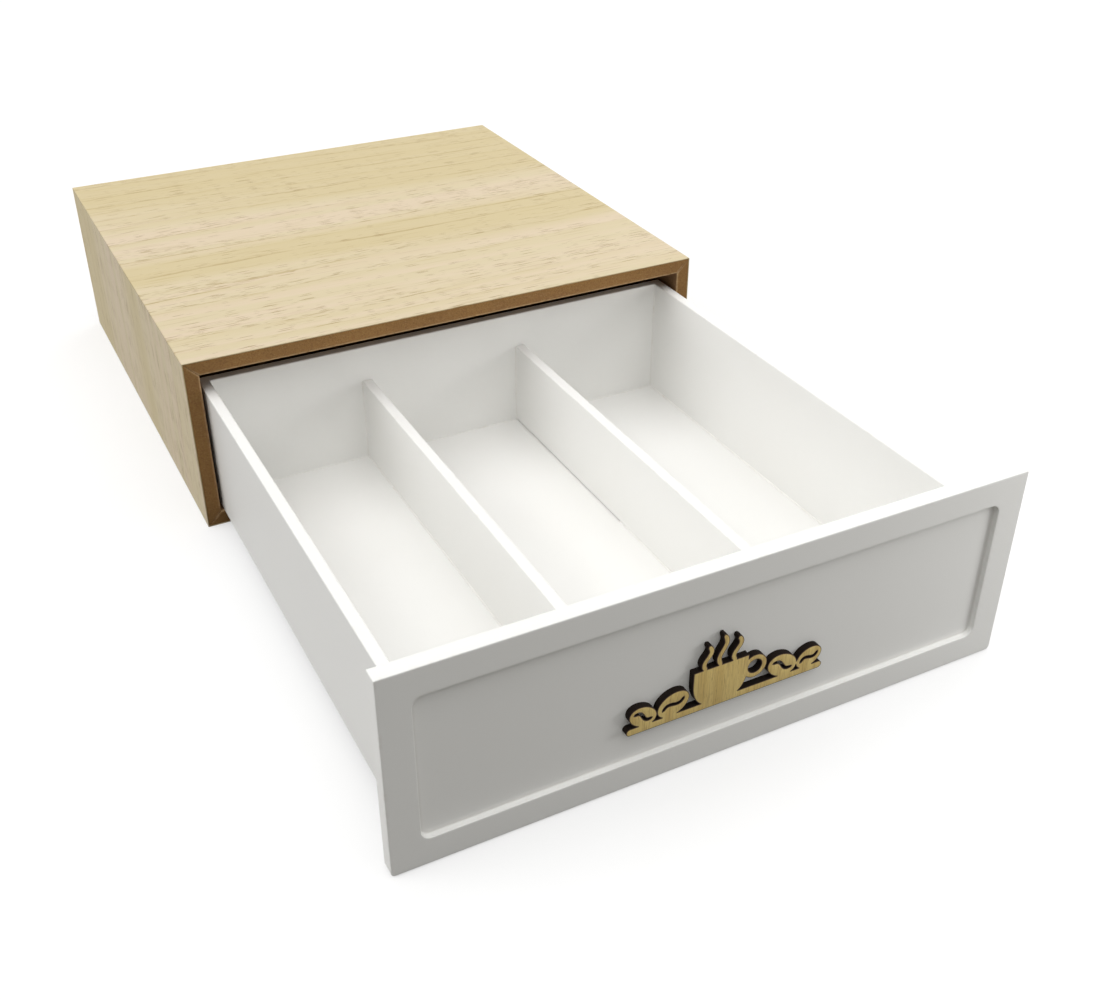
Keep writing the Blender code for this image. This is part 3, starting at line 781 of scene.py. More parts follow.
@dataclass(frozen=True)
class PlatedSteel(Finish):
    """Plated or drawn steel, dulled in patches."""

    label: str = "zinc-plated steel"
    slot: Slot = Slot.ZINC_STEEL
    bright: Colour = (0.640, 0.640, 0.625)
    dull: Colour = (0.420, 0.415, 0.400)
    roughness: float = 0.30
    patch_size: float = 0.0012
    patch_height: float = 0.00003

    def surface(self, bench: NodeBench) -> dict[str, Any]:
        """Mix bright and dull patches.

        Args:
            bench: adds the material's nodes.

        Returns:
            The Principled shader's inputs by name.
        """
        place = bench.place()
        patch = bench.noise(place, self.patch_size, 3.0, 0.6)
        return {
            "Base Color": bench.coats(self.bright, (patch.rise(0.4, 0.7), self.dull)),
            "Roughness": self.roughness + patch * 0.2,
            "Metallic": 1.0,
            "Normal": bench.bump(patch, self.patch_height, 0.3),
        }


PAINT = SatinPaint()
CAULK = Caulk()
VENEER = WrappedVeneer()
BOARD = Fibreboard()
HARDBOARD = Hardboard()
PLYWOOD = PlywoodFace()
CHAR = BurntEdge()
ZINC = PlatedSteel()
WIRE = PlatedSteel(
    "bright steel wire", Slot.STEEL_WIRE, (0.560, 0.560, 0.570), (0.360, 0.355, 0.350), 0.36
)


def block(low: Vector, high: Vector) -> BMesh:
    """Make a rectangular block.

    Args:
        low: its lowest corner.
        high: its highest corner.

    Returns:
        The block.
    """
    shape = bmesh.new()
    bmesh.ops.create_cube(shape, size=1.0)
    bmesh.ops.scale(shape, vec=high - low, verts=shape.verts)
    bmesh.ops.translate(shape, vec=(low + high) / 2, verts=shape.verts)
    return shape


def prism(section: Sequence[Vector], reach: Vector) -> BMesh:
    """Push a flat section along a straight line.

    Args:
        section: the section's corners in order.
        reach: how far and which way it goes.

    Returns:
        The closed prism.
    """
    shape = bmesh.new()
    floor = shape.faces.new([shape.verts.new(corner) for corner in section])
    pushed = bmesh.ops.extrude_face_region(shape, geom=[floor])
    moved = [item for item in pushed["geom"] if isinstance(item, BMVert)]
    bmesh.ops.translate(shape, vec=reach, verts=moved)
    bmesh.ops.recalc_face_normals(shape, faces=shape.faces)
    return shape


def turned(profile: Profile, steps: int) -> BMesh:
    """Turn a half profile round Z.

    Args:
        profile: radius and height of each point, from pole to pole.
        steps: how many steps a full turn has.

    Returns:
        The closed turned shape.
    """
    shape = bmesh.new()
    points = [shape.verts.new((radius, 0, level)) for radius, level in profile]
    edges = [shape.edges.new(pair) for pair in zip(points, points[1:])]
    bmesh.ops.spin(
        shape,
        geom=points + edges,
        cent=(0, 0, 0),
        axis=(0, 0, 1),
        angle=4 * QUARTER_TURN,
        steps=steps,
        use_merge=True,
    )
    bmesh.ops.remove_doubles(shape, verts=shape.verts, dist=MERGE_DISTANCE)
    bmesh.ops.recalc_face_normals(shape, faces=shape.faces)
    return shape


def quarter(steps: int) -> list[tuple[float, float]]:
    """Return the sine and cosine of each step of a quarter turn."""
    angles = [QUARTER_TURN * step / steps for step in range(steps + 1)]
    return [(math.sin(angle), math.cos(angle)) for angle in angles]


def fastener(head: Profile, seat: float, shank: float, length: float, steps: int) -> BMesh:
    """Turn a pin, brad or screw whose point is as long as its shank is thick.

    Args:
        head: the head's half profile, from its top's middle outwards and down.
        seat: the height at which the shank begins.
        shank: the shank's radius.
        length: how far below zero the point reaches.
        steps: how many steps a full turn has.

    Returns:
        The fastener along -Z.
    """
    return turned([*head, (shank, seat), (shank, 2 * shank - length), (0.0, -length)], steps)


def scratch_object(name: str, shape: BMesh) -> bpy.types.Object:
    """Put a shape in the scene as a plain object.

    Args:
        name: the object's name.
        shape: its shape. It is freed.

    Returns:
        The object, at the origin.
    """
    mesh = bpy.data.meshes.new(name)
    shape.to_mesh(mesh)
    shape.free()
    made = bpy.data.objects.new(name, mesh)
    bpy.context.scene.collection.objects.link(made)
    return made


def plain_mesh(source: bpy.types.Object) -> bpy.types.Mesh:
    """Return an object's evaluated mesh, its modifiers in it."""
    graph = bpy.context.evaluated_depsgraph_get()
    return bpy.data.meshes.new_from_object(source.evaluated_get(graph))


def carve(shape: BMesh, tools: Sequence[BMesh]) -> BMesh:
    """Cut tools out of a shape.

    Args:
        shape: the shape that is cut. It is freed.
        tools: closed shapes to take away. They are freed.

    Returns:
        What is left.
    """
    piece = scratch_object("carved", shape)
    cutters = [scratch_object("carving_tool", tool) for tool in tools]
    for cutter in cutters:
        cut = piece.modifiers.new("cut", "BOOLEAN")
        cut.operation = "DIFFERENCE"
        cut.solver = "EXACT"
        cut.object = cutter
    mesh = plain_mesh(piece)
    left = bmesh.new()
    left.from_mesh(mesh)
    for used in (piece, *cutters):
        bpy.data.objects.remove(used, do_unlink=True)
    bpy.data.meshes.remove(mesh)
    return left


def nowhere(_: BMEdge) -> bool:
    """Leave no edge square."""
    return False


def anywhere(_: Vector) -> bool:
    """Let every arris wear."""
    return True


def soften(
    shape: BMesh,
    ease: float,
    hold: float,
    segments: int = 4,
    square: Callable[[BMEdge], bool] = nowhere,
    worn: Callable[[Vector], bool] = anywhere,
) -> None:
    """Round a board's arrises and mark them: for wear on paint, for pale fuzz and a painted highlight
    on fibreboard.

    Args:
        shape: the board.
        ease: the rounding's width.
        hold: how far inside each broad face a flat begins.
        segments: how many steps the rounding has.
        square: tells which edges stay square, because another piece meets them.
        worn: tells where the arrises show wear, and on fibreboard pale fuzz and a painted highlight.
    """
    mark = shape.verts.layers.float.new("arris")
    least = BROAD_FACE * hold
    broad = [f for f in shape.faces if min(e.calc_length() for e in f.edges) > least]
    bmesh.ops.inset_individual(shape, faces=broad, thickness=hold, use_even_offset=True)
    arrises = [
        edge
        for edge in shape.edges
        if edge.is_manifold and edge.calc_face_angle(0.0) > SHARP_ANGLE and not square(edge)
    ]
    made = bmesh.ops.bevel(
        shape,
        geom=arrises,
        offset=ease,
        offset_type="OFFSET",
        segments=segments,
        profile=0.5,
        affect="EDGES",
        clamp_overlap=True,
    )
    for face in made["faces"]:
        for vert in face.verts:
            vert[mark] = float(worn(vert.co))


def finished(name: str, shape: BMesh, *finishes: Finish) -> bpy.types.Object:
    """Turn a shape into a smooth-shaded piece at the origin.

    Args:
        name: the piece's name.
        shape: its shape. It is freed.
        finishes: its materials in order.

    Returns:
        The piece.
    """
    piece = scratch_object(name, shape)
    for finish in finishes:
        piece.data.materials.append(finish.material())
    piece.data.shade_smooth()
    piece.data.set_sharp_from_angle(angle=SHARP_ANGLE)
    return piece


def install(piece: bpy.types.Object, body: Body, nodes: Sequence[str] = ()) -> None:
    """Let a piece ride on its body and stand for its CAD nodes.

    Args:
        piece: the finished piece.
        body: what it rides on.
        nodes: the CAD nodes that it stands for.
    """
    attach(piece, body.value)
    if nodes:
        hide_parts(*nodes)
    log.info("%s rides on %s, %d faces", piece.name, body.value, len(piece.data.polygons))


def fit(name: str, shape: BMesh, body: Body, nodes: Sequence[str], *finishes: Finish) -> None:
    """Turn a shape into a finished piece, and install it.

    Args:
        name: the piece's name.
        shape: its shape. It is freed.
        body: what it rides on.
        nodes: the CAD nodes that it stands for.
        finishes: its materials in order.
    """
    install(finished(name, shape, *finishes), body, nodes)


def box(node: str) -> tuple[Vector, Vector]:
    """Return copies of a CAD node's two corners."""
    low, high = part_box(node)
    return low.copy(), high.copy()


def middle(node: str) -> Vector:
    """Return the middle of a CAD node's box."""
    low, high = box(node)
    return (low + high) / 2


def numbered(stem: str, count: int) -> list[str]:
    """Return the names of CAD nodes that are numbered from 1."""
    return [f"{stem}_{number}" for number in range(1, count + 1)]


def facing_rear(nodes: Sequence[str], level: float) -> list[tuple[Vector, Vector]]:
    """Find the heads of fasteners that were driven in from behind.

    Args:
        nodes: the fasteners' CAD nodes.
        level: where the heads' tops are along Y.

    Returns:
        Where each head is, and which way it faces.
    """
    middles = [middle(node) for node in nodes]
    return [(Vector((place.x, level, place.z)), REARWARDS) for place in middles]


class NodePattern:
    """What the Geometry Nodes trees share: named inputs, a finish, and a plain mesh's making."""

    def __init__(self, name: str, kinds: Mapping[str, str]) -> None:
        """Start a tree that takes a mesh, further inputs and a finish.

        Args:
            name: the tree's name.
            kinds: each further input's name and kind.
        """
        self.tree = bpy.data.node_groups.new(name, "GeometryNodeTree")
        self.tree.is_modifier = True
        interface = self.tree.interface
        self.inputs = {
            label: interface.new_socket(label, in_out="INPUT", socket_type=f"NodeSocket{kind}")
            for label, kind in {"Mesh": "Geometry", **kinds, "Finish": "Material"}.items()
        }
        interface.new_socket("Pattern", in_out="OUTPUT", socket_type="NodeSocketGeometry")
        self.bench = NodeBench(self.tree)
        self.given = self.bench.add("NodeGroupInput").outputs

    def _end(self, last: bpy.types.Node) -> None:
        """Make a shape real, give it its finish, and end the tree.

        Args:
            last: the node whose first output is the shape.
        """
        real = self.bench.add("GeometryNodeRealizeInstances", sockets={0: last.outputs[0]})
        values = {"Geometry": real.outputs[0], "Material": self.given["Finish"]}
        dressed = self.bench.add("GeometryNodeSetMaterial", sockets=values)
        self.bench.add("NodeGroupOutput", sockets={0: dressed.outputs[0]})

    def _run(self, piece: bpy.types.Object, finish: Finish, values: Mapping[str, Any]) -> None:
        """Run the tree on a piece and turn the result into its plain mesh.

        Args:
            piece: the object whose mesh the tree takes.
            finish: the pattern's finish.
            values: the values of the further inputs.
        """
        modifier = piece.modifiers.new("pattern", "NODES")
        modifier.node_group = self.tree
        for label, value in {**values, "Finish": finish.material()}.items():
            modifier[self.inputs[label].identifier] = value
        piece.data, old = plain_mesh(piece), piece.data
        piece.modifiers.clear()
        bpy.data.meshes.remove(old)


class PlacedFasteners(NodePattern):
    """A tree that drives one fastener at each point of a mesh."""

    OUTWARDS = "outwards"
    SPIN_SEED = 4

    def __init__(self) -> None:
        """Build the tree."""
        kinds = {"Fastener": "Object", "Greatest Spin": "Float", "Seed": "Int"}
        super().__init__("placed fasteners", kinds)
        bench, given = self.bench, self.given
        outwards = bench.add(
            "GeometryNodeInputNamedAttribute", {"data_type": "FLOAT_VECTOR"}, {"Name": self.OUTWARDS}
        )
        aimed = bench.add(
            "FunctionNodeAlignRotationToVector", {"axis": "Z"}, {"Vector": outwards.outputs[0]}
        )
        # The node has the greatest number that it draws at input 3, and its draw at output 1
        spin = bench.add(
            "FunctionNodeRandomValue",
            {"data_type": "FLOAT"},
            {3: given["Greatest Spin"], "Seed": given["Seed"]},
        )
        about_shank = bench.add("ShaderNodeCombineXYZ", sockets={"Z": spin.outputs[1]})
        spun = bench.add(
            "FunctionNodeRotateRotation",
            {"rotation_space": "LOCAL"},
            {"Rotation": aimed.outputs[0], "Rotate By": about_shank.outputs[0]},
        )
        template = bench.add("GeometryNodeObjectInfo", sockets={"Object": given["Fastener"]})
        placed = bench.add(
            "GeometryNodeInstanceOnPoints",
            sockets={
                "Points": given["Mesh"],
                "Instance": template.outputs["Geometry"],
                "Rotation": spun.outputs[0],
            },
        )
        self._end(placed)

    def drive(
        self,
        name: str,
        template: BMesh,
        places: Sequence[tuple[Vector, Vector]],
        finish: Finish,
        spin: float = 0.0,
    ) -> bpy.types.Object:
        """Drive a fastener at each place.

        Args:
            name: the piece's name.
            template: one fastener, its head's top at zero and its shank down -Z. It is freed.
            places: each head's place and the direction that it faces.
            finish: the fasteners' finish.
            spin: how far each may be turned about its shank.

        Returns:
            All of them in one plain mesh.
        """
        pattern = finished(f"{name}_pattern", template)
        piece = scratch_object(name, bmesh.new())
        piece.data.from_pydata([place for place, _ in places], [], [])
        directions = piece.data.attributes.new(self.OUTWARDS, "FLOAT_VECTOR", "POINT")
        for datum, (_, direction) in zip(directions.data, places):
            datum.vector = direction
        values = {"Fastener": pattern, "Greatest Spin": spin, "Seed": self.SPIN_SEED}
        self._run(piece, finish, values)
        bpy.data.objects.remove(pattern, do_unlink=True)
        return piece


class JointBeads(NodePattern):
    """A tree that lays a thin round bead along each edge of a mesh."""

    SIDES = 12

    def __init__(self) -> None:
        """Build the tree."""
        super().__init__("joint beads", {"Bead Radius": "Float", "Sides": "Int"})
        bench, given = self.bench, self.given
        path = bench.add("GeometryNodeMeshToCurve", sockets={"Mesh": given["Mesh"]})
        ring = bench.add(
            "GeometryNodeCurvePrimitiveCircle",
            {"mode": "RADIUS"},
            {"Resolution": given["Sides"], "Radius": given["Bead Radius"]},
        )
        bead = bench.add(
            "GeometryNodeCurveToMesh",
            sockets={"Curve": path.outputs[0], "Profile Curve": ring.outputs[0], "Fill Caps": True},
        )
        self._end(bead)

    def lay(
        self, name: str, joints: Sequence[tuple[Vector, Vector]], radius: float, finish: Finish
    ) -> bpy.types.Object:
        """Lay a bead along each joint.

        Args:
            name: the piece's name.
            joints: the two ends of each joint's line.
            radius: the bead's radius.
            finish: the bead's finish.

        Returns:
            All the beads in one plain mesh.
        """
        piece = scratch_object(name, bmesh.new())
        ends = [end for joint in joints for end in joint]
        pairs = [(2 * number, 2 * number + 1) for number in range(len(joints))]
        piece.data.from_pydata(ends, pairs, [])
        self._run(piece, finish, {"Bead Radius": radius, "Sides": self.SIDES})
        piece.data.shade_smooth()
        piece.data.set_sharp_from_angle(angle=SHARP_ANGLE)
        return piece


@dataclass
class Casing:
    """The veneered casing: four mitred boards, their veneer, and the pinned back panel."""

    fasteners: PlacedFasteners
    board_ease: float = 0.00045
    board_hold: float = 0.0011
    veneer_ease: float = 0.00014
    veneer_hold: float = 0.0010
    back_ease: float = 0.00035
    mitre_gap: float = 0.00004
    glue_line: float = 0.00002
    pin_head_radius: float = 0.00125
    pin_head_rise: float = 0.00045
    pin_shank_radius: float = 0.0006
    pin_length: float = 0.0105
    pin_count: int = 6
    pin_sides: int = 16
    dome_steps: int = 4
    size: Vector = field(init=False)
    centre: Vector = field(init=False)
    mouth_y: float = field(init=False)
    veneer_thickness: float = field(init=False)
    board_inset: float = field(init=False)

    def __post_init__(self) -> None:
        """Measure the casing on the frame."""
        left_low, right_high = box("veneer_left")[0], box("veneer_right")[1]
        top_low, top_high = box("veneer_top")
        low = Vector((left_low.x, left_low.y, box("veneer_bottom")[0].z))
        high = Vector((right_high.x, right_high.y, top_high.z))
        self.size, self.centre, self.mouth_y = high - low, (low + high) / 2, low.y
        self.veneer_thickness = top_high.z - top_low.z
        self.board_inset = top_high.z - box("casing_top")[0].z

    def _mitred(self, side: Side, near: float, far: float) -> BMesh:
        """Return a board mitred at both ends.

        Args:
            side: which side of the casing it lies on.
            near: how deep its outer face lies under the casing's outside.
            far: how deep its inner face lies.

        Returns:
            The board.
        """
        half_along = abs(side.along.dot(self.size)) / 2
        half_out = abs(side.outwards.dot(self.size)) / 2
        start = Vector((self.centre.x, self.mouth_y, self.centre.z))
        section = [
            start + side.along * reach * (half_along - depth - self.mitre_gap)
            + side.outwards * (half_out - depth)
            for reach, depth in ((1, near), (1, far), (-1, far), (-1, near))
        ]
        return prism(section, Vector((0, self.size.y, 0)))

    def boards(self) -> None:
        """Build the four fibreboards, rebated behind for the back panel."""
        panel_low, panel_high = box("casing_back")
        room = Vector((self.glue_line, self.glue_line, self.glue_line))
        behind = Vector((0, self.board_inset, 0))
        for side in Side:
            near = self.veneer_thickness + self.glue_line
            board = self._mitred(side, near, self.board_inset)
            board = carve(board, [block(panel_low - room, panel_high + room + behind)])
            # The mouth's inner arrises get pale fuzz and a painted highlight
            soften(board, self.board_ease, self.board_hold, worn=self._round_the_mouth)
            fit(f"{side.label}_board", board, Body.CASING, [f"casing_{side.label}"], BOARD)

    def _round_the_mouth(self, place: Vector) -> bool:
        """Tell whether a place is on the boards' inner arrises, at the casing's mouth, which take pale
        fuzz and a painted highlight.

        Args:
            place: the place.

        Returns:
            True on the inner arrises.
        """
        across = self.size.x / 2 - abs(place.x - self.centre.x)
        upright = self.size.z / 2 - abs(place.z - self.centre.z)
        return min(across, upright) > self.board_inset / 2

    def veneers(self) -> None:
        """Lay the four veneer sheets, their grain running on round the corners."""
        for side in Side:
            sheet = self._mitred(side, 0.0, self.veneer_thickness)
            soften(sheet, self.veneer_ease, self.veneer_hold, segments=2)
            self._wrap_grain(sheet, side)
            name = f"{side.label}_veneer_sheet"
            fit(name, sheet, Body.CASING, [f"veneer_{side.label}"], VENEER)

    def _wrap_grain(self, sheet: BMesh, side: Side) -> None:
        """Write each vertex's place on the unrolled veneer: x round the casing, y along it.

        Args:
            sheet: the sheet.
            side: where the sheet lies.
        """
        turns = {Side.TOP: 0.0, Side.RIGHT: 1.0, Side.LEFT: -1.0, Side.BOTTOM: 2.0}[side]
        shift = turns * (self.size.x + self.size.z) / 2
        wrap = sheet.verts.layers.float_vector.new("wrap")
        for vert in sheet.verts:
            vert[wrap] = (shift + (vert.co - self.centre).dot(side.along), vert.co.y, 0.0)

    def back_panel(self) -> None:
        """Build the hardboard panel in its rebate, and the pins' heads on it."""
        low, high = box("casing_back")
        panel = block(low, high)
        soften(panel, self.back_ease, self.board_hold, segments=3)
        fit("back_panel_sheet", panel, Body.CASING, ["casing_back"], HARDBOARD)
        pins = numbered("back_pin", self.pin_count)
        places = facing_rear(pins, high.y + self.pin_head_rise)
        driven = self.fasteners.drive("back_pin_set", self._pin(), places, WIRE)
        install(driven, Body.CASING, pins)

    def _pin(self) -> BMesh:
        """Make one panel pin with a low domed head.

        Returns:
            The pin along -Z.
        """
        radius, rise = self.pin_head_radius, self.pin_head_rise
        dome = [(radius * s, -rise * (1 - c)) for s, c in quarter(self.dome_steps)]
        return fastener(dome, -rise, self.pin_shank_radius, self.pin_length, self.pin_sides)

    def build(self) -> None:
        """Build and dress the casing."""
        self.boards()
        self.veneers()
        self.back_panel()


@dataclass
class DrawerBox:
    """The painted box: walls, floor, dividers, beads in its joints, screws and brads."""

    fasteners: PlacedFasteners
    beads: JointBeads
    ease: float = 0.00055
    hold: float = 0.0012
    snug: float = 0.00002
    bead_radius: float = 0.00062
    open_joint_share: float = 0.46
    open_joint_height: float = 0.0007
    screw_head_radius: float = 0.0028
    screw_head_depth: float = 0.0019
    screw_lip: float = 0.0003
    screw_shank_radius: float = 0.0014
    screw_slot_length: float = 0.0030
    screw_slot_width: float = 0.00065
    screw_slot_depth: float = 0.0011
    screw_count: int = 4
    screw_sides: int = 24
    sink_room: float = 0.0002
    sink_sides: int = 32
    brad_head_radius: float = 0.0010
    brad_shank_radius: float = 0.0006
    brad_head_height: float = 0.0006
    wall_brad_count: int = 8
    divider_brad_count: int = 4
    brad_sides: int = 12
    left_low: Vector = field(init=False)
    left_high: Vector = field(init=False)
    right_low: Vector = field(init=False)
    right_high: Vector = field(init=False)
    back_low: Vector = field(init=False)
    back_high: Vector = field(init=False)
    front_low: Vector = field(init=False)
    front_high: Vector = field(init=False)
    floor_low: Vector = field(init=False)
    floor_high: Vector = field(init=False)
    panel_back_y: float = field(init=False)

    def __post_init__(self) -> None:
        """Measure the box on the frame."""
        self.left_low, self.left_high = box("drawer_left_wall")
        self.right_low, self.right_high = box("drawer_right_wall")
        self.back_low, self.back_high = box("drawer_back_wall")
        self.front_low, self.front_high = box("drawer_inner_front")
        self.floor_low, self.floor_high = box("drawer_floor")
        self.panel_back_y = box("drawer_front_panel")[1].y

    def _rebate(self) -> BMesh:
        """Make the room that the floor takes in the walls' feet.

        Returns:
            The room as a cutting tool.
        """
        room = Vector((self.snug, self.snug, self.snug))
        below = Vector((0, 0, self.floor_high.z - self.floor_low.z))
        return block(self.floor_low - room - below, self.floor_high + room)

    def _square_at(self, axis: int, places: Sequence[float]) -> Callable[[BMEdge], bool]:
        """Tell edges that lie where another board meets this one.

        Args:
            axis: 0 for X, 1 for Y or 2 for Z.
            places: where along it the other boards begin.

        Returns:
            The test for an edge.
        """

        def meets(edge: BMEdge) -> bool:
            """Tell whether both ends of an edge lie at one of the places.

            Args:
                edge: the edge.

            Returns:
                True if they do.
            """
            return any(
                all(abs(end.co[axis] - place) < self.snug for end in edge.verts) for place in places
            )

        return meets

    def _wall(
        self, label: str, node: str, low: Vector, high: Vector, square: Callable[[BMEdge], bool]
    ) -> None:
        """Build one wall with its floor rebate, and the inner front's countersinks.

        Args:
            label: the piece's name.
            node: the CAD node that it stands for.
            low: its lowest corner.
            high: its highest corner.
            square: tells which edges stay square.
        """
        wall = carve(block(low, high), [self._rebate()])
        soften(wall, self.ease, self.hold, square=square)
        if node == "drawer_inner_front":
            wall = carve(wall, self._countersinks())
        fit(label, wall, Body.DRAWER, [node], PAINT)

    def walls(self) -> None:
        """Build the side walls up to the overlay front, and the end walls let into them."""
        front_y = self.panel_back_y
        square = self._square_at(1, [front_y])
        for side, low, high in (
            ("left", self.left_low, self.left_high),
            ("right", self.right_low, self.right_high),
        ):
            start = Vector((low.x, front_y, low.z))
            self._wall(f"{side}_wall_board", f"drawer_{side}_wall", start, high, square)
        left_x, right_x = self.left_high.x - self.ease, self.right_low.x + self.ease
        square = self._square_at(0, [left_x, right_x])
        for label, node, near_y, low, high in (
            ("back_wall_board", "drawer_back_wall", self.back_low.y, self.back_low, self.back_high),
            ("inner_front_board", "drawer_inner_front", front_y, self.front_low, self.front_high),
        ):
            start, end = Vector((left_x, near_y, low.z)), Vector((right_x, high.y, high.z))
            self._wall(label, node, start, end, square)

    def floor(self) -> None:
        """Build the floor panel."""
        panel = block(self.floor_low, self.floor_high)
        soften(panel, self.snug, self.hold, segments=1)
        fit("floor_panel", panel, Body.DRAWER, ["drawer_floor"], PAINT)

    def dividers(self) -> None:
        """Build the dividers. The right one stands a hair off the floor, as its joint shows."""
        ends = (self.front_high.y, self.back_low.y)
        for side in ("left", "right"):
            node = f"drawer_{side}_divider"
            low, high = box(node)
            foot_z = self.floor_high.z + (0.0 if side == "left" else self.open_joint_height)
            start = Vector((low.x, ends[0], foot_z))
            divider = block(start, Vector((high.x, ends[1], high.z)))
            feet = self._square_at(2, [foot_z])
            meets = self._square_at(1, ends)
            soften(divider, self.ease, self.hold, square=lambda edge: feet(edge) or meets(edge))
            fit(f"{side}_divider_board", divider, Body.DRAWER, [node], PAINT)

    def joint_beads(self) -> None:
        """Lay the painter's beads in the inner joints, but for the open one."""
        near_y, far_y = self.front_high.y, self.back_low.y
        left_x, right_x = self.left_high.x, self.right_low.x
        floor_z, wall_z = self.floor_high.z, self.back_high.z - self.ease
        corners = [(left_x, wall_z), (right_x, wall_z)]
        feet = [(left_x, far_y), (right_x, far_y)]
        for side in ("left", "right"):
            low, high = box(f"drawer_{side}_divider")
            corners += [(low.x, high.z - self.ease), (high.x, high.z - self.ease)]
            open_share = self.open_joint_share if side == "right" else 0.0
            feet += [(low.x, far_y + (near_y - far_y) * open_share), (high.x, far_y)]
        joints = [
            (Vector((x, y, floor_z)), Vector((x, y, top_z)))
            for x, top_z in corners
            for y in (near_y, far_y)
        ]
        joints += [
            (Vector((left_x, y, floor_z)), Vector((right_x, y, floor_z))) for y in (near_y, far_y)
        ]
        joints += [(Vector((x, near_y, floor_z)), Vector((x, end_y, floor_z))) for x, end_y in feet]
        piece = self.beads.lay("joint_bead_set", joints, self.bead_radius, CAULK)
        install(piece, Body.DRAWER)

    def _screw_places(self) -> list[tuple[Vector, Vector]]:
        """Where the screws' heads are on the frame, and which way they face."""
        screws = numbered("front_screw", self.screw_count)
        return facing_rear(screws, box(screws[0])[1].y)

    def _countersinks(self) -> list[BMesh]:
        """Make the screws' countersinks.

        Returns:
            The cutting tools.
        """
        rim = self.screw_head_radius + self.sink_room
        throat = self.screw_shank_radius + self.sink_room
        depth = -self.screw_head_depth
        rearwards = REARWARDS.to_track_quat("Z", "X").to_matrix()
        tools = []
        for head, _ in self._screw_places():
            mouth = self.front_high.y - head.y + self.hold
            profile = [(0.0, mouth), (rim, mouth), (rim, -self.screw_lip)]
            sink = turned([*profile, (throat, depth), (0.0, depth)], self.sink_sides)
            bmesh.ops.rotate(sink, cent=(0, 0, 0), matrix=rearwards, verts=sink.verts)
            bmesh.ops.translate(sink, vec=head, verts=sink.verts)
            tools.append(sink)
        return tools

    def _screw(self) -> BMesh:
        """Make one countersunk screw with a cross slot, its thread hidden in the board.

        Returns:
            The screw along -Z.
        """
        low, high = box("front_screw_1")
        radius, lip = self.screw_head_radius, self.screw_lip
        head = [(0.0, 0.0), (radius - lip / 2, 0.0), (radius, -lip / 2), (radius, -lip)]
        seat, shank = -self.screw_head_depth, self.screw_shank_radius
        body = fastener(head, seat, shank, high.y - low.y, self.screw_sides)
        half = Vector((self.screw_slot_length, self.screw_slot_width, 2 * self.screw_slot_depth)) / 2
        across = Vector((half.y, half.x, half.z))
        return carve(body, [block(-half, half), block(-across, across)])

    def screws(self) -> None:
        """Drive the four screws that hold the overlay front."""
        driven = self.fasteners.drive(
            "front_screw_set", self._screw(), self._screw_places(), ZINC, QUARTER_TURN
        )
        install(driven, Body.DRAWER, numbered("front_screw", self.screw_count))

    def brads(self) -> None:
        """Drive the brads of the corners and the dividers, under filler and paint."""
        walls = numbered("wall_brad", self.wall_brad_count)
        dividers = numbered("divider_brad", self.divider_brad_count)
        middle_y = (self.front_high.y + self.back_low.y) / 2
        places = []
        for node in walls + dividers:
            corners, head = box(node), middle(node)
            axis, offset = (0, head.x) if node in walls else (1, head.y - middle_y)
            outwards = Vector((0, 0, 0))
            outwards[axis] = math.copysign(1, offset)
            head[axis] = corners[int(offset > 0)][axis]
            places.append((head, outwards))
        low, high = box("wall_brad_1")
        radius, seat = self.brad_head_radius, -self.brad_head_height
        head_profile = [(0.0, 0.0), (radius, 0.0), (radius, seat)]
        shank = self.brad_shank_radius
        brad = fastener(head_profile, seat, shank, high.x - low.x, self.brad_sides)
        driven = self.fasteners.drive("brad_set", brad, places, WIRE)
        install(driven, Body.DRAWER, walls + dividers)

    def build(self) -> None:
        """Build and dress the box."""
        self.walls()
        self.floor()
        self.dividers()
        self.joint_beads()
        self.screws()
        self.brads()


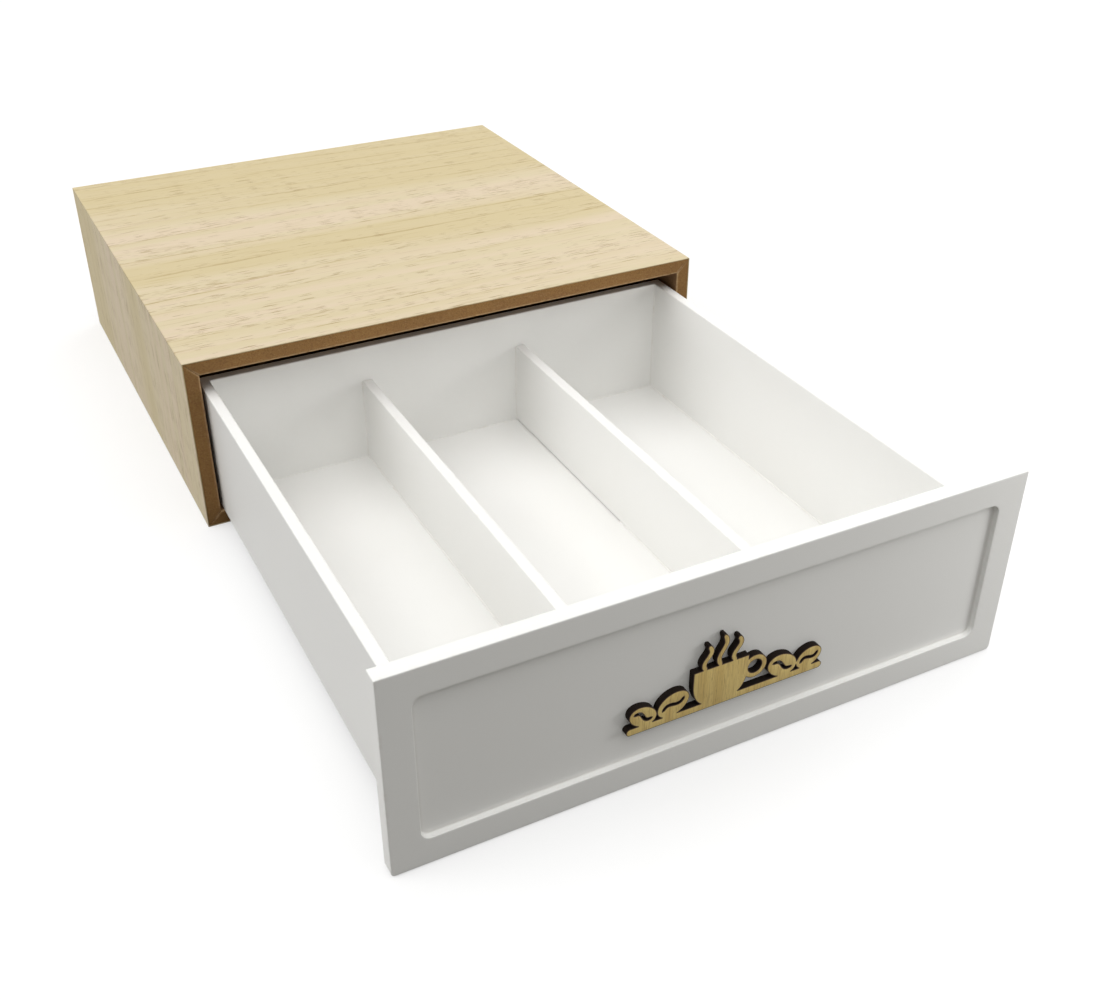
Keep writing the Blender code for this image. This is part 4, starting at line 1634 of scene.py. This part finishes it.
@dataclass(frozen=True)
class Outline:
    """A flat outline with its holes: points across X and up Z, and the edges between them."""

    points: tuple[Vector, ...]
    edges: tuple[tuple[int, int], ...]
    CORNER_DIRECTIONS = 12
    LEAST_DEPTH_SHARE = 0.97
    MERGE = 10 * MERGE_DISTANCE

    @staticmethod
    def of_front(mesh: bpy.types.Mesh) -> Outline:
        """Read the outline that a thin upright plate shows from the front.

        Args:
            mesh: the plate's mesh.

        Returns:
            Its outline, its small steps in thickness left out.
        """
        plate = bmesh.new()
        plate.from_mesh(mesh)
        middle_y = sum(vert.co.y for vert in plate.verts) / len(plate.verts)
        front_y = min(vert.co.y for vert in plate.verts)
        behind = [vert for vert in plate.verts if vert.co.y > middle_y]
        bmesh.ops.delete(plate, geom=behind, context="VERTS")
        for vert in plate.verts:
            vert.co.y = front_y
        bmesh.ops.remove_doubles(plate, verts=plate.verts, dist=Outline.MERGE)
        bmesh.ops.dissolve_degenerate(plate, edges=plate.edges, dist=Outline.MERGE)
        rim = [edge for edge in plate.edges if edge.is_boundary]
        places: dict[int, int] = {}
        for edge in rim:
            for vert in edge.verts:
                places.setdefault(vert.index, len(places))
        plate.verts.ensure_lookup_table()
        points = tuple(Vector((plate.verts[i].co.x, plate.verts[i].co.z)) for i in places)
        edges = tuple((places[e.verts[0].index], places[e.verts[1].index]) for e in rim)
        plate.free()
        return Outline(points, edges)

    def holds(self, point: Vector) -> bool:
        """Tell whether a point lies inside the outline and outside its holes.

        Args:
            point: the point.

        Returns:
            True inside.
        """
        crossings = 0
        for start, end in self.edges:
            a, b = self.points[start], self.points[end]
            if (a.y > point.y) != (b.y > point.y):
                crossings += point.x < a.x + (point.y - a.y) * (b.x - a.x) / (b.y - a.y)
        return crossings % 2 == 1

    def clearance(self, point: Vector) -> float:
        """Measure how far a point is from the outline's nearest edge.

        Args:
            point: the point.

        Returns:
            The distance.
        """
        nearest = math.inf
        for start, end in self.edges:
            a, b = self.points[start], self.points[end]
            foot, share = intersect_point_line(point, a, b)
            foot = a if share < 0 else b if share > 1 else foot
            nearest = min(nearest, (point - foot.to_2d()).length)
        return nearest

    def rim_points(self, depth: float, step: float) -> list[Vector]:
        """Return points all round, a given depth inside the outline.

        Args:
            depth: how far inside they lie.
            step: how far apart they are along it.

        Returns:
            The points that no other edge comes nearer to.
        """
        points = []
        for start, end in self.edges:
            a, b = self.points[start], self.points[end]
            along = b - a
            inwards = along.orthogonal().normalized() * depth
            count = max(1, round(along.length / step))
            for number in range(count):
                foot = a + along * (number + 0.5) / count
                points += [foot + inwards, foot - inwards]
        for corner in self.points:
            for number in range(self.CORNER_DIRECTIONS):
                angle = 4 * QUARTER_TURN * number / self.CORNER_DIRECTIONS
                points.append(corner + depth * Vector((math.cos(angle), math.sin(angle))))
        least = self.LEAST_DEPTH_SHARE * depth
        return [point for point in points if self.clearance(point) > least and self.holds(point)]

    def triangles(
        self, inner: Sequence[Vector]
    ) -> tuple[Sequence[Vector], list[tuple[int, int, int]]]:
        """Fill the outline with triangles.

        Args:
            inner: points inside it, which the triangles use as corners.

        Returns:
            All the points, and the triangles' corners among them.
        """
        points, _, faces, *_ = delaunay_2d_cdt(
            [*self.points, *inner], list(self.edges), [], 1, MERGE_DISTANCE
        )
        kept = [f for f in faces if self.holds(sum((points[i] for i in f), Vector((0, 0))) / 3)]
        return points, kept


@dataclass(frozen=True)
class Ring:
    """One rounded rectangle round the overlay front: how far in, deep, worn, and its dust and painted
    shade.
    """

    inset: float
    depth: float
    arris: float = 0.0
    # How much dust and painted shade the ring takes
    dust: float = 0.0


@dataclass
class OverlayFront:
    """The overlay front with its routed recess, and the plywood motif glued in it."""

    nodes: Mapping[str, bpy.types.Object]
    outer_ease: float = 0.0005
    back_ease: float = 0.0004
    recess_margin: float = 0.0135
    recess_depth: float = 0.0025
    recess_corner: float = 0.0045
    lip_ease: float = 0.0004
    cove_radius: float = 0.0007
    top_corner: float = 0.0006
    bottom_corner: float = 0.0019
    least_corner: float = 0.0003
    hold: float = 0.0012
    arc_steps: int = 5
    corner_steps: int = 8
    scorch_rim: float = 0.00052
    scorch_drop: float = 0.00012
    rim_step: float = 0.0007
    lip_wear: float = 0.8
    cove_wear: float = 0.15
    face_lean: float = 0.5

    def _rings(self, thickness: float) -> list[Ring]:
        """Return the rings from the back's middle, round the edge, to the recess's floor.

        Args:
            thickness: how thick the front is.

        Returns:
            The rings in order.
        """
        back, ease, lip, cove = self.back_ease, self.outer_ease, self.lip_ease, self.cove_radius
        margin, deep = self.recess_margin, self.recess_depth
        arc = quarter(self.arc_steps)
        rings = [Ring(back + self.hold, thickness)]
        rings += [Ring(back * (1 - s), thickness - back * (1 - c), 1.0) for s, c in arc]
        rings += [Ring(0.0, thickness - back - self.hold), Ring(0.0, ease + self.hold)]
        rings += [Ring(ease * (1 - c), ease * (1 - s), 1.0) for s, c in arc]
        rings += [Ring(ease + self.hold, 0.0), Ring(margin - lip - self.hold, 0.0)]
        rings += [Ring(margin - lip * (1 - s), lip * (1 - c), self.lip_wear) for s, c in arc]
        # The cove's rings take dust and painted shade, fullest where the cove meets the recess's floor
        rings += [
            Ring(margin + cove * (1 - c), deep - cove * (1 - s), self.cove_wear, s * s)
            for s, c in arc[:-1]
        ]
        rings += [Ring(margin + cove, deep, 0.0, 1.0), Ring(margin + cove + self.hold, deep)]
        return rings

    def _corner_radius(self, ring: Ring, at_top: bool) -> float:
        """Return a ring's corner radius.

        Args:
            ring: the ring, near the recess or near the front's edge.
            at_top: whether it is one of the two top corners, which are crisper at the edge.

        Returns:
            The radius.
        """
        if ring.inset > self.recess_margin / 2:
            return max(self.recess_corner + self.recess_margin - ring.inset, self.least_corner)
        corner = self.top_corner if at_top else self.bottom_corner
        return max(corner - ring.inset, self.least_corner)

    def _ring_points(self, ring: Ring, low: Vector, high: Vector) -> list[Vector]:
        """Return a ring's points.

        Args:
            ring: the ring.
            low: the front's lowest corner.
            high: its highest corner.

        Returns:
            The points, corner by corner.
        """
        points = []
        for number, (x_side, z_side) in enumerate(((1, 1), (-1, 1), (-1, -1), (1, -1))):
            radius = self._corner_radius(ring, z_side > 0)
            edge_x = high.x - ring.inset if x_side > 0 else low.x + ring.inset
            edge_z = high.z - ring.inset if z_side > 0 else low.z + ring.inset
            for step in range(self.corner_steps + 1):
                angle = QUARTER_TURN * (number + step / self.corner_steps)
                x = edge_x - x_side * radius + radius * math.cos(angle)
                z = edge_z - z_side * radius + radius * math.sin(angle)
                points.append(Vector((x, low.y + ring.depth, z)))
        return points

    def panel(self) -> None:
        """Build the front board ring by ring, so that its arrises and cove are true rounds."""
        low, high = box("drawer_front_panel")
        shape = bmesh.new()
        mark = shape.verts.layers.float.new("arris")
        # A layer of dust and painted shade for the recess's inner corner
        dust = shape.verts.layers.float.new("dust")
        rows = []
        for ring in self._rings(high.y - low.y):
            row = [shape.verts.new(point) for point in self._ring_points(ring, low, high)]
            for vert in row:
                vert[mark] = ring.arris
                vert[dust] = ring.dust
            rows.append(row)
        for inner, outer in zip(rows, rows[1:]):
            for number in range(len(inner)):
                after = (number + 1) % len(inner)
                shape.faces.new((inner[number], inner[after], outer[after], outer[number]))
        shape.faces.new(rows[0])
        shape.faces.new(rows[-1])
        bmesh.ops.recalc_face_normals(shape, faces=shape.faces)
        fit("overlay_front_board", shape, Body.DRAWER, ["drawer_front_panel"], PAINT)

    def motif(self) -> None:
        """Cut the motif anew on its outline: a scorched rim round its face, and charred edges."""
        outline = Outline.of_front(self.nodes["front_motif"].data)
        face_y = box("front_motif")[0].y
        glued_y = box("drawer_front_panel")[0].y + self.recess_depth
        shape = bmesh.new()
        scorch = shape.verts.layers.float.new("scorch")
        points, triangles = outline.triangles(outline.rim_points(self.scorch_rim, self.rim_step))
        verts = [shape.verts.new((point.x, face_y, point.y)) for point in points]
        for corners in triangles:
            shape.faces.new([verts[corner] for corner in corners])
        bmesh.ops.recalc_face_normals(shape, faces=shape.faces)
        rim = [vert for vert in shape.verts if vert.is_boundary]
        for vert in rim:
            vert[scorch] = 1.0
            vert.co.y += self.scorch_drop
        pushed = bmesh.ops.extrude_face_region(shape, geom=shape.faces[:])
        for item in pushed["geom"]:
            if isinstance(item, BMVert):
                item.co.y = glued_y
        bmesh.ops.recalc_face_normals(shape, faces=shape.faces)
        # The second finish is the cut edge's
        for face in shape.faces:
            face.material_index = int(abs(face.normal.y) <= self.face_lean)
        fit("plywood_motif", shape, Body.DRAWER, ["front_motif"], PLYWOOD, CHAR)

    def build(self) -> None:
        """Build and dress the overlay front."""
        self.panel()
        self.motif()


@dataclass(frozen=True)
class Studio:
    """A white floor, soft lights from above and from both rear sides, a fill, and the camera."""

    floor_size: float = 12.0
    floor_drop: float = 0.0001
    floor_colour: Colour = (0.99, 0.99, 0.99)
    floor_bounce: Colour = (0.090, 0.085, 0.070)
    floor_glow: float = 0.52
    white: Colour = (1.0, 1.0, 1.0)
    sky_colour: Colour = (1.0, 0.985, 0.950)
    sky_strength: float = 0.262
    overhead_towards: Place = (-0.12, -0.09, 0.99)
    overhead_strength: float = 2.05
    overhead_spread: float = math.radians(80)
    left_towards: Place = (-0.84, 0.30, 0.45)
    left_strength: float = 1.05
    right_towards: Place = (0.78, 0.52, 0.35)
    right_strength: float = 0.70
    side_spread: float = math.radians(40)
    fill_place: Place = (0.42, -0.62, 0.16)
    fill_aim: Place = (0.15, -0.41, 0.05)
    fill_size: float = 0.20
    fill_power: float = 0.66
    camera_place: Place = (-0.2566, -0.7539, 0.3992)
    azimuth: float = math.radians(27.3)
    elevation: float = math.radians(32.9)
    lens: float = 43.1
    sensor_width: float = 36.0
    nearest_sight: float = 0.01

    def _shown(
        self, bench: NodeBench, hidden: bpy.types.Node, seen: bpy.types.Node
    ) -> bpy.types.NodeSocket:
        """Show one shader to the eye, in gloss and through glass, and light with another.

        Args:
            bench: the tree's bench.
            hidden: the shader that lights the object.
            seen: the shader that shows as the background.

        Returns:
            The mixed shader's socket.
        """
        path = bench.add("ShaderNodeLightPath").outputs
        camera, gloss, glass = (
            Signal(bench, path[f"Is {ray} Ray"]) for ray in ("Camera", "Glossy", "Transmission")
        )
        values = {0: camera + gloss + glass, 1: hidden.outputs[0], 2: seen.outputs[0]}
        return bench.add("ShaderNodeMixShader", sockets=values).outputs[0]

    def floor(self) -> None:
        """Lay the floor: white to the eye, and darker only where the object shades it."""
        shape = bmesh.new()
        bmesh.ops.create_grid(shape, x_segments=1, y_segments=1, size=self.floor_size / 2)
        bmesh.ops.translate(shape, vec=(0, 0, -self.floor_drop), verts=shape.verts)
        ground = scratch_object("studio_floor", shape)
        material = bpy.data.materials.new("white studio floor")
        bench = cleared(material)
        matt = bench.add("ShaderNodeBsdfDiffuse", sockets={"Color": self.floor_colour})
        glow = bench.add("ShaderNodeEmission", sockets={"Strength": 1.0})
        bounce = bench.add("ShaderNodeBsdfDiffuse", sockets={"Color": self.floor_bounce})
        values = {0: self.floor_glow, 1: matt.outputs[0], 2: glow.outputs[0]}
        white = bench.add("ShaderNodeMixShader", sockets=values)
        bench.add("ShaderNodeOutputMaterial", sockets={"Surface": self._shown(bench, bounce, white)})
        ground.data.materials.append(material)

    def sky(self) -> None:
        """Light the scene evenly, and show white behind it."""
        world = bpy.data.worlds.new("studio")
        bench = cleared(world)
        soft, white = (
            bench.add("ShaderNodeBackground", sockets={"Color": colour, "Strength": strength})
            for colour, strength in ((self.sky_colour, self.sky_strength), (self.white, 1.0))
        )
        bench.add("ShaderNodeOutputWorld", sockets={"Surface": self._shown(bench, soft, white)})
        bpy.context.scene.world = world

    def lamps(self) -> None:
        """Hang the overhead light, the two side lights and the fill."""
        for name, towards, strength, spread in (
            ("overhead light", self.overhead_towards, self.overhead_strength, self.overhead_spread),
            ("left light", self.left_towards, self.left_strength, self.side_spread),
            ("right light", self.right_towards, self.right_strength, self.side_spread),
        ):
            sun = bpy.data.lights.new(name, "SUN")
            sun.energy = strength
            sun.angle = spread
            self._hang(sun, Vector(towards), Vector(towards))
        fill = bpy.data.lights.new("front fill", "AREA")
        fill.size = self.fill_size
        fill.energy = self.fill_power
        fill_place = Vector(self.fill_place)
        self._hang(fill, fill_place, fill_place - Vector(self.fill_aim))

    def _hang(self, light: bpy.types.Light, place: Vector, outwards: Vector) -> None:
        """Hang a lamp that the camera doesn't see.

        Args:
            light: the lamp's light.
            place: where it hangs.
            outwards: the direction from the object to it.
        """
        lamp = bpy.data.objects.new(light.name, light)
        lamp.location = place
        lamp.visible_camera = False
        lamp.rotation_euler = outwards.to_track_quat("Z", "Y").to_euler()
        bpy.context.scene.collection.objects.link(lamp)

    def camera(self) -> None:
        """Set the camera where the photograph was taken, wide enough for the whole object."""
        data = bpy.data.cameras.new("camera")
        data.lens = self.lens
        data.sensor_width = self.sensor_width
        data.sensor_fit = "HORIZONTAL"
        data.clip_start = self.nearest_sight
        camera = bpy.data.objects.new("camera", data)
        camera.location = self.camera_place
        level = math.cos(self.elevation)
        sight = Vector(
            (math.sin(self.azimuth) * level, math.cos(self.azimuth) * level, -math.sin(self.elevation))
        )
        camera.rotation_euler = sight.to_track_quat("-Z", "Y").to_euler()
        bpy.context.scene.collection.objects.link(camera)
        bpy.context.scene.camera = camera

    def build(self) -> None:
        """Set the studio up."""
        self.floor()
        self.sky()
        self.camera()
        self.lamps()
        bpy.context.scene.view_settings.view_transform = "Standard"


def main() -> None:
    """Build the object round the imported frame, and the studio round it."""
    logging.basicConfig(level=logging.INFO, format="%(message)s")
    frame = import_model()
    fasteners = PlacedFasteners()
    Studio().build()
    Casing(fasteners).build()
    DrawerBox(fasteners, JointBeads()).build()
    OverlayFront(frame["nodes"]).build()


if __name__ == "__main__":
    main()
